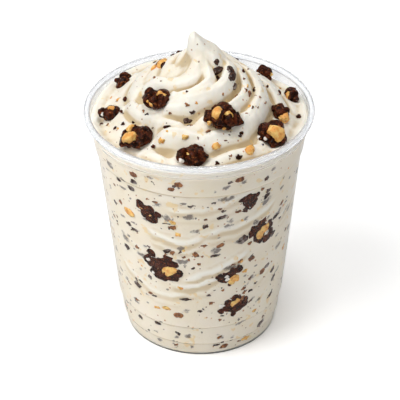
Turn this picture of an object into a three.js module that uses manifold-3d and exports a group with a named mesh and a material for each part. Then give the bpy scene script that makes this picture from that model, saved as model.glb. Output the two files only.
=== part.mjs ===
// A clear cup filled to the brim with blended vanilla ice cream. The cream is drawn up into a
// peak by thick soft folds that wind outwards, and chunks of chocolate with chopped peanuts sit
// in it, on top and pressed against the wall.
// Millimetres, +Z up. The origin is the middle of the cup's foot, on the table. -Y is the front.

import * as THREE from 'three';
import { mergeVertices } from 'three/addons/utils/BufferGeometryUtils.js';
import Module from 'manifold-3d';

const wasm = await Module();
wasm.setup();

// ---- driving dimensions -------------------------------------------------------------------

const SEGMENTS = 48;              // flats round the cup and round the cream
const GAP = 0.3;                  // air between pieces that touch

const WALL = 0.6;                 // thickness of the clear plastic
const FOOT_RADIUS = 33.3;         // outside of the standing ring
const FOOT_WIDTH = 1.1;
const RECESS = 2.0;               // how far the cup's underside stands clear of the table
const SHOULDER_RADIUS = 43.7;     // wall just under the lower of the two top steps
const SHOULDER_HEIGHT = 90.0;
const STEP = 0.8;                 // each moulded step widens the wall by this
const RIM_RADIUS = 48.75;         // outside of the rolled rim
const RIM_HEIGHT = 106.4;         // middle of the rolled rim
const ROLL_RADIUS = 1.45;         // the rolled rim is a round bead

const PEAK_HEIGHT = 141.8;        // tip of the cream above the table
const MOUND_X = 1.4;              // the mound stands a little off the cup's axis
const MOUND_Y = 1.0;
const MOUND_POWER = 1.34;         // 1 is a straight cone, more is hollow towards the wall
const TIP_LEAN = 2.6;             // the tip is bent over to the left
const TIP_REACH = 6.0;
const TIP_ROUND = 0.03;           // share of the mound's radius that is rounded at the tip
const FILL_HEIGHT = 101.0;        // where the cream meets the wall
const EDGE_RADIUS = 45.9;         // wall's inside at the fill line
const EDGE_ROUND = 2.5;           // the cream rounds down to the wall over this width
const EDGE_DROP = 1.6;

// The fill line isn't level: [bearing, rise, spread] of each swell and dip, in degrees and mm.
const FILL_WAVES = [
  [125, 2.2, 30],
  [48, -3.2, 28],
  [-90, 0.6, 55],
  [180, -0.8, 25],
];

// The folds wind clockwise, seen from above. Bearings are in degrees from +X, towards +Y.
const FOLDS = [
  { from: -92, sweep: 115, start: 0.0, end: 24.5, power: 0.42, lift: 2.8, width: 3.4 },
  { from: 0, sweep: 160, start: 2.0, end: 26.0, power: 1.0, lift: 2.2, width: 2.6 },
  { from: 25, sweep: 200, start: 8.5, end: 32.0, power: 1.25, lift: 2.6, width: 2.9 },
  { from: 40, sweep: 205, start: 12.5, end: 32.5, power: 0.75, lift: 2.4, width: 3.0 },
  { from: 75, sweep: 205, start: 15.5, end: 37.0, power: 0.75, lift: 3.4, width: 3.4 },
  { from: -150, sweep: 190, start: 5.0, end: 27.0, power: 0.8, lift: 2.5, width: 3.8 },
  { from: -205, sweep: 150, start: 26.0, end: 35.0, power: 1.0, lift: 2.0, width: 3.4 },
];

// Chunks on top. half is half the length, width and height. A nut is [bearing, elevation, size].
const TOP_CHUNKS = [
  { bearing: 140, reach: 41.2, half: [3.7, 3.5, 3.4], turn: 0, nuts: [[-40, 10, 1.9]] },
  { bearing: -175, reach: 37.8, half: [5.0, 3.3, 3.2], turn: -10, nuts: [[60, 60, 1.5]] },
  { bearing: -140, reach: 23.3, half: [6.6, 4.8, 4.6], turn: -20, nuts: [[60, 55, 2.3]] },
  { bearing: -135, reach: 35.8, half: [7.0, 5.3, 4.5], turn: 22, nuts: [[-150, 25, 2.7]] },
  { bearing: -95, reach: 37.7, half: [7.1, 4.5, 4.0], turn: -14, nuts: [[-95, 55, 1.6]] },
  { bearing: -68, reach: 27.5, half: [8.4, 5.8, 5.2], turn: -8, nuts: [[170, 60, 3.0], [-20, 62, 2.2]] },
  { bearing: 47, reach: 39.6, half: [3.7, 3.5, 3.6], turn: 35, nuts: [[-60, 0, 1.5]] },
  { bearing: 14, reach: 40.6, half: [3.2, 4.0, 3.6], turn: 15, nuts: [[170, 50, 1.7]] },
  { bearing: -17, reach: 35.0, half: [4.3, 3.5, 3.3], turn: -25, nuts: [[-30, 5, 2.4]] },
  { bearing: -38, reach: 38.4, half: [6.4, 5.2, 5.0], turn: 12, nuts: [[-100, 60, 3.0]] },
  { bearing: 84, reach: 27.0, half: [5.6, 4.4, 3.9], turn: 30, nuts: [[80, 50, 2.2]] },
  { bearing: 104, reach: 37.0, half: [4.6, 3.7, 3.4], turn: 70, nuts: [[20, 50, 1.8]] },
  { bearing: 71, reach: 39.6, half: [5.2, 3.9, 3.6], turn: -20, nuts: [[130, 40, 2.0]] },
];
const TOP_CHUNK_RAISE = 0.9;      // middle of a chunk above the cream's surface

// Chunks at the wall. half is half the length along the wall, the height and the depth.
const WALL_CHUNKS = [
  { bearing: -121, height: 79.4, half: [7.2, 5.2, 3.8], tilt: 40 },
  { bearing: -114, height: 50.3, half: [10.0, 8.8, 5.4], tilt: 20 },
  { bearing: -61, height: 84.0, half: [5.8, 6.4, 3.8], tilt: 15 },
  { bearing: -51, height: 65.5, half: [6.8, 7.8, 4.2], tilt: -20 },
  { bearing: -72, height: 46.2, half: [6.8, 5.8, 4.0], tilt: 25 },
  { bearing: -69, height: 28.9, half: [8.2, 5.8, 4.2], tilt: -10 },
  { bearing: 8, height: 74.0, half: [7.8, 6.2, 4.2], tilt: 35 },
  { bearing: 38, height: 44.0, half: [6.8, 7.4, 4.0], tilt: -15 },
  { bearing: 74, height: 80.0, half: [7.4, 5.8, 4.0], tilt: 10 },
  { bearing: 96, height: 33.0, half: [9.0, 7.2, 4.8], tilt: -30 },
  { bearing: 128, height: 66.0, half: [6.8, 6.4, 4.0], tilt: 30 },
  { bearing: 160, height: 41.0, half: [8.0, 6.2, 4.4], tilt: 15 },
];
const WALL_CHUNK_DEPTH = 0.45;    // share of a chunk's depth that lies inside the cream

// Loose bits that show on the folds: [bearing, reach, size].
const LOOSE_BITS = [
  [136, 21.2, 2.1],
  [146, 18.0, 1.3],
  [-36, 18.9, 2.3],
  [-53, 12.5, 1.7],
  [-59, 39.5, 2.0],
  [-79, 35.8, 1.7],
  [-101, 24.4, 1.8],
  [-116, 30.4, 1.4],
  [-67, 40.1, 1.4],
  [173, 31.4, 1.4],
  [-6, 42.0, 1.5],
  [9, 34.2, 1.2],
  [-31, 24.1, 1.2],
  [-116, 34.9, 1.3],
];
const SPREAD_BITS = 12;           // more bits, spread evenly where nothing else lies
const SPREAD_TRIES = 44;
const SPREAD_BIT_SIZE = [0.9, 1.5];
const BIT_CLEARANCE = 1.2;        // between a spread bit and a chunk

// ---- helpers ------------------------------------------------------------------------------

const radians = THREE.MathUtils.degToRad;
const degrees = THREE.MathUtils.radToDeg;
const { clamp, lerp } = THREE.MathUtils;

// Repeatable draws from 0 to 1.
function seededDraws(seed) {
  let state = (seed * 7919 + 101) % 2147483647;
  return () => {
    state = (state * 16807) % 2147483647;
    return state / 2147483647;
  };
}

function smoothStep(t) {
  const x = clamp(t, 0, 1);
  return x * x * (3 - 2 * x);
}

// Reads a radius off a profile of [radius, height] points that rises.
function radiusAt(profile, height) {
  for (let i = 1; i < profile.length; i++) {
    const [r0, z0] = profile[i - 1];
    const [r1, z1] = profile[i];
    if (height <= z1) {
      return lerp(r0, r1, clamp((height - z0) / (z1 - z0), 0, 1));
    }
  }
  return profile.at(-1)[0];
}

// A closed geometry as a solid that can be joined and cut.
function toSolid(geometry) {
  const bare = geometry.clone();
  bare.deleteAttribute('normal');
  bare.deleteAttribute('uv');
  const merged = mergeVertices(bare, 1e-4);
  const corners = [];
  for (let i = 0; i < merged.index.count; i += 3) {
    const [a, b, c] = [0, 1, 2].map((k) => merged.index.getX(i + k));
    if (a !== b && b !== c && c !== a) {
      corners.push(a, b, c);
    }
  }
  return new wasm.Manifold(new wasm.Mesh({
    numProp: 3,
    vertProperties: new Float32Array(merged.attributes.position.array),
    triVerts: new Uint32Array(corners),
  }));
}

function toGeometry(solid) {
  const mesh = solid.getMesh();
  const geometry = new THREE.BufferGeometry();
  geometry.setAttribute('position', new THREE.BufferAttribute(mesh.vertProperties, 3));
  geometry.setIndex(new THREE.BufferAttribute(mesh.triVerts, 1));
  geometry.computeVertexNormals();
  return geometry;
}

// Cutting can free a crumb-sized scrap, so only the largest body is kept.
function largestBody(solid) {
  return solid.decompose().reduce((best, body) => (body.volume() > best.volume() ? body : best));
}

// A profile of [radius, height] points turned about the cup's axis.
function turned(profile) {
  const points = profile.map(([r, z]) => new THREE.Vector2(r, z));
  return new THREE.LatheGeometry(points, SEGMENTS).rotateX(Math.PI / 2);
}

// A solid skinned over rings of points. The first and the last ring are single points.
function skinned(rings) {
  const corners = [];
  const index = [];
  rings.forEach((ring) => ring.forEach((p) => corners.push(...p)));
  const start = (j) => (j === 0 ? 0 : 1 + (j - 1) * SEGMENTS);
  const at = (j, i) => start(j) + (rings[j].length === 1 ? 0 : i % SEGMENTS);
  for (let j = 1; j < rings.length; j++) {
    for (let i = 0; i < SEGMENTS; i++) {
      const [a, b] = [at(j - 1, i), at(j - 1, i + 1)];
      const [c, d] = [at(j, i + 1), at(j, i)];
      if (a !== b) {
        index.push(a, b, c);
      }
      if (c !== d) {
        index.push(a, c, d);
      }
    }
  }
  const geometry = new THREE.BufferGeometry();
  geometry.setAttribute('position', new THREE.Float32BufferAttribute(corners, 3));
  geometry.setIndex(index);
  return geometry;
}

// ---- cup ----------------------------------------------------------------------------------

// Outside of the wall, from the standing ring to the neck under the rolled rim.
const neckRadius = SHOULDER_RADIUS + 2.9;
const outside = [
  [FOOT_RADIUS, 0],
  [FOOT_RADIUS + 1.0, 6.3],
  [FOOT_RADIUS + 1.6, 6.9],
  [FOOT_RADIUS + 2.4, 16.2],
  [FOOT_RADIUS + 2.4 + STEP, 17.0],
  [SHOULDER_RADIUS, SHOULDER_HEIGHT],
  [SHOULDER_RADIUS + STEP, SHOULDER_HEIGHT + 0.9],
  [neckRadius - STEP, SHOULDER_HEIGHT + 10.0],
  [neckRadius, SHOULDER_HEIGHT + 10.9],
];

// The inside follows it one wall thickness further in, over a floor with a round heel.
const floorHeight = RECESS + WALL;
const heelRadius = FOOT_RADIUS - FOOT_WIDTH;
const inside = [
  [heelRadius - 1.4, floorHeight],
  [heelRadius + 0.1, WALL + 0.1],
  [FOOT_RADIUS - WALL + 0.1, WALL + 0.5],
  ...outside.slice(1).map(([r, z]) => [r - WALL, z + 0.2]),
  [RIM_RADIUS - 2 * ROLL_RADIUS, RIM_HEIGHT],
];

function rolledRim() {
  const centre = RIM_RADIUS - ROLL_RADIUS;
  const first = radians(-124);
  const steps = 7;
  return Array.from({ length: steps }, (_, i) => {
    const angle = first + (Math.PI - first) * (i / steps);
    return [centre + ROLL_RADIUS * Math.cos(angle), RIM_HEIGHT + ROLL_RADIUS * Math.sin(angle)];
  });
}

const cupProfile = [
  [0, RECESS],
  [heelRadius - 1.9, RECESS],
  [heelRadius - 0.3, 0],
  ...outside,
  ...rolledRim(),
  ...inside.toReversed(),
  [0, floorHeight],
];
const cupSolid = toSolid(turned(cupProfile));

// Room for the contents: the cup's inside, less the gap, and straight up past the peak.
const roomWall = inside.map(([r, z]) => [r - GAP, z]);
const roomFloor = floorHeight + GAP;
const roomBottom = [
  [inside[0][0] + 0.7 * GAP, roomFloor],
  [inside[1][0] - 0.3 * GAP, inside[1][1] + 2.2 * GAP],
  [inside[2][0] - GAP, inside[2][1] + 1.4 * GAP],
];
const roomSolid = toSolid(turned([
  [0, roomFloor],
  ...roomBottom,
  ...roomWall.slice(3),
  [roomWall.at(-1)[0], PEAK_HEIGHT + 20],
  [0, PEAK_HEIGHT + 20],
]));

// ---- ice cream ----------------------------------------------------------------------------

function fillHeight(bearing) {
  return FILL_WAVES.reduce((height, [middle, rise, spread]) => {
    const away = THREE.MathUtils.euclideanModulo(bearing - middle + 180, 360) - 180;
    return height + rise * Math.exp(-((away / spread) ** 2));
  }, FILL_HEIGHT);
}

// Height of the fold at r mm out on this bearing: a soft back inside, a steep face outside.
function foldHeight({ from, sweep, start, end, power, lift, width }, r, bearing) {
  const along = THREE.MathUtils.euclideanModulo(from - bearing, 360) / sweep;
  if (along > 1) {
    return 0;
  }
  const crest = start + (end - start) * along ** power;
  const s = (r - crest) / width;
  const ridge = Math.exp(-((s / (s < 0 ? 1.3 : 0.75)) ** 2));
  const groove = 0.25 * Math.exp(-(((s - 1.4) / 0.6) ** 2));
  const fade = smoothStep(along / 0.12) * smoothStep((1 - along) / 0.3);
  return lift * (ridge - groove) * fade;
}

function moundHeight(x, y) {
  const near = Math.exp(-((x - MOUND_X) ** 2 + (y - MOUND_Y) ** 2) / TIP_REACH ** 2);
  const dx = x - MOUND_X + TIP_LEAN * near;
  const dy = y - MOUND_Y;
  const r = Math.hypot(dx, dy);
  const bearing = degrees(Math.atan2(dy, dx));
  const fill = fillHeight(degrees(Math.atan2(y, x)));
  const t = clamp(Math.hypot(r / (EDGE_RADIUS + 0.5), TIP_ROUND) - TIP_ROUND, 0, 1);
  const cone = fill + (PEAK_HEIGHT - fill) * (1 - t) ** MOUND_POWER;
  const folds = FOLDS.reduce((sum, fold) => sum + foldHeight(fold, r, bearing), 0);
  const edge = clamp((Math.hypot(x, y) - EDGE_RADIUS + EDGE_ROUND) / EDGE_ROUND, 0, 1);
  return cone + folds - EDGE_DROP * (1 - Math.sqrt(1 - edge * edge));
}

// Rings run up the wall to the fill line, then in over the mound to the tip.
function creamGeometry() {
  const wallHeights = [...roomWall.slice(3, -1).map(([, z]) => z)];
  const mountRings = 20;
  const tip = [MOUND_X - TIP_LEAN, MOUND_Y];
  const bearings = Array.from({ length: SEGMENTS }, (_, i) => (360 * i) / SEGMENTS);
  const ringAt = (r, z) => bearings.map((b) => [r * Math.cos(radians(b)), r * Math.sin(radians(b)), z]);
  const edges = bearings.map((b) => {
    const guess = fillHeight(b) - EDGE_DROP;
    const r = radiusAt(roomWall, guess);
    const [x, y] = [r * Math.cos(radians(b)), r * Math.sin(radians(b))];
    return [x, y, Math.min(guess, moundHeight(x, y))];
  });
  const rings = [[[0, 0, roomFloor]]];
  roomBottom.forEach(([r, z]) => rings.push(ringAt(r, z)));
  wallHeights.forEach((z, j) => {
    const below = 0.5 * (wallHeights.length - j);
    rings.push(bearings.map((b, i) => {
      const height = Math.min(z, edges[i][2] - below);
      const r = radiusAt(roomWall, height);
      return [r * Math.cos(radians(b)), r * Math.sin(radians(b)), height];
    }));
  });
  rings.push(edges);
  for (let j = 1; j < mountRings; j++) {
    const inwards = 1 - (1 - j / mountRings) ** 1.15;
    rings.push(edges.map(([ex, ey]) => {
      const [x, y] = [lerp(ex, tip[0], inwards), lerp(ey, tip[1], inwards)];
      return [x, y, moundHeight(x, y)];
    }));
  }
  rings.push([[...tip, moundHeight(...tip)]]);
  return skinned(rings);
}

// ---- chunks and bits ----------------------------------------------------------------------

// A broken lump: a ball cut back by a few seeded flat breaks. Its axes are half long.
function lumpGeometry(half, seed, detail, grow = 0) {
  const draw = seededDraws(seed);
  const breaks = Array.from({ length: 10 }, () => {
    const up = 2 * draw() - 1;
    const round = 2 * Math.PI * draw();
    const flat = Math.sqrt(1 - up * up);
    return { normal: [flat * Math.cos(round), flat * Math.sin(round), up], away: 0.74 + 0.2 * draw() };
  });
  const geometry = new THREE.IcosahedronGeometry(1, detail);
  const place = geometry.attributes.position;
  for (let i = 0; i < place.count; i++) {
    const d = new THREE.Vector3().fromBufferAttribute(place, i).normalize();
    let reach = 1.06;
    breaks.forEach(({ normal, away }) => {
      const facing = d.x * normal[0] + d.y * normal[1] + d.z * normal[2];
      if (facing > 0.3) {
        reach = Math.min(reach, away / facing);
      }
    });
    const [a, b, c] = half.map((h) => h + grow);
    place.setXYZ(i, d.x * a * reach, d.y * b * reach, d.z * c * reach);
  }
  return geometry;
}

// A chunk is a lump with nut bits standing out of it.
function chunkSolid({ half, nuts = [] }, seed, detail, placing, grow = 0) {
  let chunk = toSolid(lumpGeometry(half, seed, detail, grow));
  nuts.forEach(([bearing, elevation, size], k) => {
    const level = Math.cos(radians(elevation));
    const [x, y, z] = [
      0.8 * half[0] * level * Math.cos(radians(bearing)),
      0.8 * half[1] * level * Math.sin(radians(bearing)),
      0.8 * half[2] * Math.sin(radians(elevation)),
    ];
    const nut = lumpGeometry([size, 0.8 * size, 0.75 * size], seed + 50 + k, 0, grow);
    chunk = chunk.add(toSolid(nut.translate(x, y, z)));
  });
  return toSolid(toGeometry(chunk).applyMatrix4(placing));
}

function topChunkPlacing({ bearing, reach, turn }) {
  const [x, y] = [reach * Math.cos(radians(bearing)), reach * Math.sin(radians(bearing))];
  return new THREE.Matrix4()
    .makeTranslation(x, y, moundHeight(x, y) + TOP_CHUNK_RAISE)
    .multiply(new THREE.Matrix4().makeRotationZ(radians(turn)));
}

// Its length lies along the wall, its height up the wall and its depth towards the axis.
function wallChunkPlacing({ bearing, height, half, tilt }) {
  const reach = radiusAt(roomWall, height) - WALL_CHUNK_DEPTH * half[2];
  return new THREE.Matrix4()
    .makeRotationZ(radians(bearing + 90))
    .multiply(new THREE.Matrix4().makeTranslation(0, -reach, height))
    .multiply(new THREE.Matrix4().makeRotationX(radians(90)))
    .multiply(new THREE.Matrix4().makeRotationZ(radians(tilt)));
}

function bitSolid([bearing, reach, size], seed) {
  const [x, y] = [reach * Math.cos(radians(bearing)), reach * Math.sin(radians(bearing))];
  const draw = seededDraws(seed + 300);
  const lump = lumpGeometry([size, size * (0.6 + 0.3 * draw()), 0.6 * size], seed, 0);
  lump.rotateZ(2 * Math.PI * draw());
  return toSolid(lump.translate(x, y, moundHeight(x, y) + 0.1 * size));
}

// Even spread over the mound by the golden angle, skipping what already lies there.
function spreadBits() {
  const draw = seededDraws(5);
  const taken = [
    ...TOP_CHUNKS.map(({ bearing, reach, half }) => [bearing, reach, Math.max(...half) + 1.5]),
    ...LOOSE_BITS,
  ];
  const bits = [];
  for (let i = 0; bits.length < SPREAD_BITS && i < SPREAD_TRIES; i++) {
    const bearing = (i * 137.508) % 360;
    const reach = 9 + 33 * Math.sqrt((i + draw()) / SPREAD_TRIES);
    const size = lerp(...SPREAD_BIT_SIZE, draw());
    const clear = [...taken, ...bits].every(([otherBearing, otherReach, otherSize]) => {
      const apart = Math.hypot(
        reach * Math.cos(radians(bearing)) - otherReach * Math.cos(radians(otherBearing)),
        reach * Math.sin(radians(bearing)) - otherReach * Math.sin(radians(otherBearing)),
      );
      return apart > size + otherSize + BIT_CLEARANCE;
    });
    if (clear) {
      bits.push([bearing, reach, size]);
    }
  }
  return bits;
}

// ---- the pieces ---------------------------------------------------------------------------

const LARGE_CHUNK = 6.0;          // half length from which a top chunk has finer faces
const chunks = [
  ...TOP_CHUNKS.map((chunk, i) => ({
    chunk,
    name: `top_chunk_${i + 1}`,
    seed: 11 + i,
    detail: chunk.half[0] > LARGE_CHUNK ? 2 : 1,
    placing: topChunkPlacing(chunk),
  })),
  ...WALL_CHUNKS.map((chunk, i) => ({
    chunk,
    name: `wall_chunk_${i + 1}`,
    seed: 41 + i,
    detail: 1,
    placing: wallChunkPlacing(chunk),
  })),
];

let creamSolid = toSolid(creamGeometry());
[...LOOSE_BITS, ...spreadBits()].forEach((bit, i) => {
  creamSolid = creamSolid.add(bitSolid(bit, 100 + i));
});
chunks.forEach(({ chunk, seed, detail, placing }) => {
  creamSolid = creamSolid.subtract(chunkSolid(chunk, seed, detail, placing, GAP * 1.4));
});

const clearPlastic = new THREE.MeshStandardMaterial({
  color: 0xf4f6f7, roughness: 0.08, metalness: 0, transparent: true, opacity: 0.3,
});
const vanillaCream = new THREE.MeshStandardMaterial({ color: 0xf4ecdc, roughness: 0.5, metalness: 0 });
const chocolate = new THREE.MeshStandardMaterial({ color: 0x3a2219, roughness: 0.35, metalness: 0 });

function piece(name, solid, material) {
  const mesh = new THREE.Mesh(toGeometry(solid), material);
  mesh.name = name;
  return mesh;
}

const group = new THREE.Group();
group.add(piece('cup', cupSolid, clearPlastic));
group.add(piece('ice_cream', largestBody(creamSolid), vanillaCream));
chunks.forEach(({ chunk, name, seed, detail, placing }) => {
  const solid = chunkSolid(chunk, seed, detail, placing).intersect(roomSolid);
  group.add(piece(name, largestBody(solid), chocolate));
});

export default group;
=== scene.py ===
# %% [markdown]
# # A clear cup of blended ice cream
# The real thing is a thin clear cup, filled past the brim with vanilla ice cream that has been
# blended with chocolate and chopped peanuts, then drawn up into a soft peak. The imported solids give
# every place and size; this script gives each of them its looks.
# Lengths are millimetres while a shape is worked out, and become metres in one place.

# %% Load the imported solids
import itertools
import math

import bmesh
import bpy
import numpy as np
from mathutils import Matrix, Vector


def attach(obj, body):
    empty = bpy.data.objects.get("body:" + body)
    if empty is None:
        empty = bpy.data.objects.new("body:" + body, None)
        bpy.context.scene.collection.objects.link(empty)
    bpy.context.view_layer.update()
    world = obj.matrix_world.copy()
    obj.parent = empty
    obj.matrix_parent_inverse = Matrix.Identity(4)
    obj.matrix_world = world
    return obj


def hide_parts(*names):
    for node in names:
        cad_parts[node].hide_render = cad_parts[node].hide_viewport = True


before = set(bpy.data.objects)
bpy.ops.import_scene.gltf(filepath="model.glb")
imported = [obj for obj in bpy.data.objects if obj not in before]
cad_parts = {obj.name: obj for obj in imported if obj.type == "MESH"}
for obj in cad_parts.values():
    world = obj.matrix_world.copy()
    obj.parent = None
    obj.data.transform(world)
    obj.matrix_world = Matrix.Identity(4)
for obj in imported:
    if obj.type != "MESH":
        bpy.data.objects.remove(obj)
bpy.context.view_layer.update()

MM = 0.001
print("packed nodes:", len(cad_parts))

# %% [markdown]
# ## Repeatable chance
# Broken chocolate and churned cream look random, but the script has to give the same thing each
# run. One small generator gives numbers in a fixed order, and one field gives soft noise in space.
# Blender has noise of its own, but a field on whole arrays is faster for a hundred thousand points.

# %% Draws and a noise field
LOW_BITS = 0x7FFFFFFF


def draws(seed):
    """Endless repeatable numbers from 0 to 1."""
    state = (seed * 7919 + 101) % LOW_BITS
    while True:
        state = state * 16807 % LOW_BITS
        yield state / LOW_BITS


def lumps(points, size, seed=0):
    """Soft noise from -1 to 1, in lumps about size mm across, for an array of points."""
    place = np.asarray(points, float) / size + 31.7 * seed
    cell = np.floor(place).astype(np.int64)
    t = place - cell
    t = t * t * (3 - 2 * t)
    total = np.zeros(place.shape[:-1])
    for corner in itertools.product((0, 1), repeat=3):
        x, y, z = np.moveaxis(cell + corner, -1, 0)
        mixed = (x * 73856093) ^ (y * 19349663) ^ (z * 83492791)
        mixed = (mixed ^ (mixed >> 13)) & LOW_BITS
        mixed = (mixed * 1274126177) & LOW_BITS
        value = ((mixed ^ (mixed >> 16)) & 0xFFFF) / 32767.5 - 1
        total += value * np.prod(np.where(corner, t, 1 - t), axis=-1)
    return total


def layered(points, size, layers=3, seed=0):
    """Noise with finer noise on it: each layer has half the size and half the strength."""
    return sum(0.5**k * lumps(points, size * 0.5**k, seed + k) for k in range(layers))


def smooth_step(t):
    t = np.clip(t, 0, 1)
    return t * t * (3 - 2 * t)


print("noise at the origin:", round(float(lumps([[0.3, 0.2, 0.1]], 1.0)[0]), 3))

# %% [markdown]
# ## From points to a piece
# Every piece ends the same way: a mesh in metres with its object at the origin, smooth faces, a
# material, and the body that it moves with, while the solids that it stands for are hidden. One
# function does that.

# %% Make a piece of the model
def add_piece(name, corners, faces, materials, stands_for=(), face_kinds=None, notes=None):
    """Points in millimetres and faces become a finished piece. notes are numbers for each point."""
    mesh = bpy.data.meshes.new(name)
    mesh.from_pydata((np.asarray(corners) * MM).tolist(), [], faces)
    mesh.validate()
    mesh.polygons.foreach_set("use_smooth", [True] * len(mesh.polygons))
    for material in materials:
        mesh.materials.append(material)
    if face_kinds is not None:
        mesh.polygons.foreach_set("material_index", np.asarray(face_kinds, np.int32))
    for title, values in (notes or {}).items():
        mesh.attributes.new(title, "FLOAT", "POINT").data.foreach_set("value", values)
    piece = bpy.data.objects.new(name, mesh)
    bpy.context.collection.objects.link(piece)
    finish_piece(piece, stands_for)


def finish_piece(piece, stands_for=()):
    """Ties a piece to the part's one body and hides the solids that it stands for."""
    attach(piece, "root")
    if stands_for:
        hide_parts(*stands_for)
    triangles = sum(len(face.vertices) - 2 for face in piece.data.polygons)
    print(f"{piece.name}: {triangles} triangles")


def skin(rings):
    """Faces over a stack of closed rings of equal count. A ring of one point closes an end."""
    faces = []
    start = 0
    for below, above in zip(rings, rings[1:]):
        n = max(len(below), len(above))
        upper = start + len(below)
        for i in range(n):
            j = (i + 1) % n
            if len(below) == 1:
                faces.append((start, upper + j, upper + i))
            elif len(above) == 1:
                faces.append((start + i, start + j, upper))
            else:
                faces.append((start + i, start + j, upper + j, upper + i))
        start = upper
    return faces


# %% [markdown]
# ## Sums on sockets
# A material is a web of nodes. Written as plain sums it is far easier to read, so a socket is
# wrapped in a small class: adding or multiplying two of them makes the Math node that does it.
# All other nodes come from one method, which sets what kind of node it is before its sockets.

# %% A wrapped socket and the tree that holds it
class Wire:
    """A node's output that takes part in ordinary sums."""

    def __init__(self, web, socket):
        self.web = web
        self.socket = socket

    def sum_with(self, operation, *values):
        return self.web.node("ShaderNodeMath", {"operation": operation}, dict(enumerate(values)))

    def __add__(self, other):
        return self.sum_with("ADD", self, other)

    def __sub__(self, other):
        return self.sum_with("SUBTRACT", self, other)

    def __rsub__(self, other):
        return self.sum_with("SUBTRACT", other, self)

    def __mul__(self, other):
        return self.sum_with("MULTIPLY", self, other)

    __radd__ = __add__
    __rmul__ = __mul__

    def also(self, output):
        """Another output of the same node."""
        return Wire(self.web, self.socket.node.outputs[output])

    def between(self, low, high):
        """0 below low, 1 above high, and a soft step between them."""
        return self.web.node(
            "ShaderNodeMapRange",
            {"interpolation_type": "SMOOTHSTEP"},
            {"Value": self, "From Min": low, "From Max": high},
        )


class Web:
    """A node tree that is built by calls."""

    def __init__(self, tree):
        self.tree = tree
        tree.nodes.clear()

    def node(self, kind, settings=None, inputs=None, output=0):
        made = self.tree.nodes.new(kind)
        for name, value in (settings or {}).items():
            setattr(made, name, value)
        for name, value in (inputs or {}).items():
            socket = made.inputs[name]
            if isinstance(value, Wire):
                self.tree.links.new(value.socket, socket)
            else:
                socket.default_value = value
        return Wire(self, made.outputs[output]) if made.outputs else None


class Finish(Web):
    """A material whose patterns are measured in millimetres on the object itself."""

    def __init__(self, name):
        self.material = bpy.data.materials.new(name)
        self.material.use_nodes = True
        super().__init__(self.material.node_tree)
        self.place = self.node("ShaderNodeTexCoord", output="Object")

    def noise(self, size, detail=2.0, roughness=0.5, place=None):
        return self.node(
            "ShaderNodeTexNoise",
            inputs={
                "Vector": place or self.place,
                "Scale": 1 / (size * MM),
                "Detail": detail,
                "Roughness": roughness,
            },
        )

    def note(self, title):
        """A number that the mesh keeps for each of its points."""
        return self.node("ShaderNodeAttribute", {"attribute_name": title}, output="Fac")

    def colours(self, share, first, second):
        """A mix of two colours, each three numbers or another mix."""
        pair = [c if isinstance(c, Wire) else (*c, 1.0) for c in (first, second)]
        mix = {"data_type": "RGBA", "blend_type": "MIX"}
        return self.node("ShaderNodeMix", mix, {0: share, 6: pair[0], 7: pair[1]}, output=2)

    def bump(self, height, depth, under=None):
        """A Normal from a height field, depth mm deep where the height is 1."""
        inputs = {"Height": height, "Strength": 1.0, "Distance": depth * MM}
        if under:
            inputs["Normal"] = under
        return self.node("ShaderNodeBump", inputs=inputs)

    def show(self, surface):
        self.node("ShaderNodeOutputMaterial", inputs={"Surface": surface})
        return self.material


def srgb(red, green, blue):
    """A colour as it is seen, 0 to 255, as the light that a shader works with."""
    return tuple(
        v / 12.92 if v <= 0.04045 else ((v + 0.055) / 1.055) ** 2.4
        for v in (red / 255, green / 255, blue / 255)
    )


print("middle grey as light:", [round(v, 3) for v in srgb(128, 128, 128)])

# %% [markdown]
# ## The cup's outline
# A thermoformed cup is a turned shape: a narrow foot, a low ledge, a straight flare, two steps for
# stacking lids and a rim that is rolled outwards into a hollow bead. It could be drawn by a
# modifier that spins a line, but a plain loop over the angles gives clean closed rings.
# The steps' corners are softened, because hot sheet never forms a sharp edge.

# %% Heights and radii of the wall
WALL = 0.6
OUTSIDE = [
    (33.3, 0.0), (34.3, 6.3), (34.9, 6.9), (35.7, 16.2), (36.5, 17.0),
    (43.7, 90.0), (44.5, 90.9), (45.8, 100.0), (46.6, 100.9),
]
RIM_MIDDLE = (47.3, 106.4)
RIM_OUTER = 1.45
RIM_INNER = RIM_OUTER - WALL
FLOOR_TOP = 2.6
INSIDE = [(30.8, FLOOR_TOP), (32.3, 0.7), (32.8, 1.1)]
INSIDE += [(r - WALL, z + 0.2) for r, z in OUTSIDE[1:]]
INSIDE += [(RIM_MIDDLE[0] - RIM_OUTER, RIM_MIDDLE[1])]


def softened(line, cut, steps=4):
    """Rounds each corner of a line of (radius, height) points."""
    made = [line[0]]
    for before, corner, after in zip(line, line[1:], line[2:]):
        a, b, c = (np.array(p, float) for p in (before, corner, after))
        reach = [min(cut, 0.45 * np.linalg.norm(p - b)) for p in (a, c)]
        first = b + (a - b) / np.linalg.norm(a - b) * reach[0]
        last = b + (c - b) / np.linalg.norm(c - b) * reach[1]
        for t in np.linspace(0, 1, steps + 1):
            made.append(tuple((1 - t) ** 2 * first + 2 * t * (1 - t) * b + t * t * last))
    return made + [line[-1]]


def arc(middle, radius, first, last, steps):
    """Points round a middle, from one angle to another, in degrees."""
    angles = np.radians(np.linspace(first, last, steps + 1))
    return [(middle[0] + radius * math.cos(a), middle[1] + radius * math.sin(a)) for a in angles]


def wall_inside(height):
    """The wall's inner radius at each height above the heel."""
    heights = [z for _, z in INSIDE[2:]]
    radii = [r for r, _ in INSIDE[2:]]
    return np.interp(height, heights, radii)


print("wall's inner radius at mid height:", round(float(wall_inside(50.0)), 2), "mm")

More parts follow.
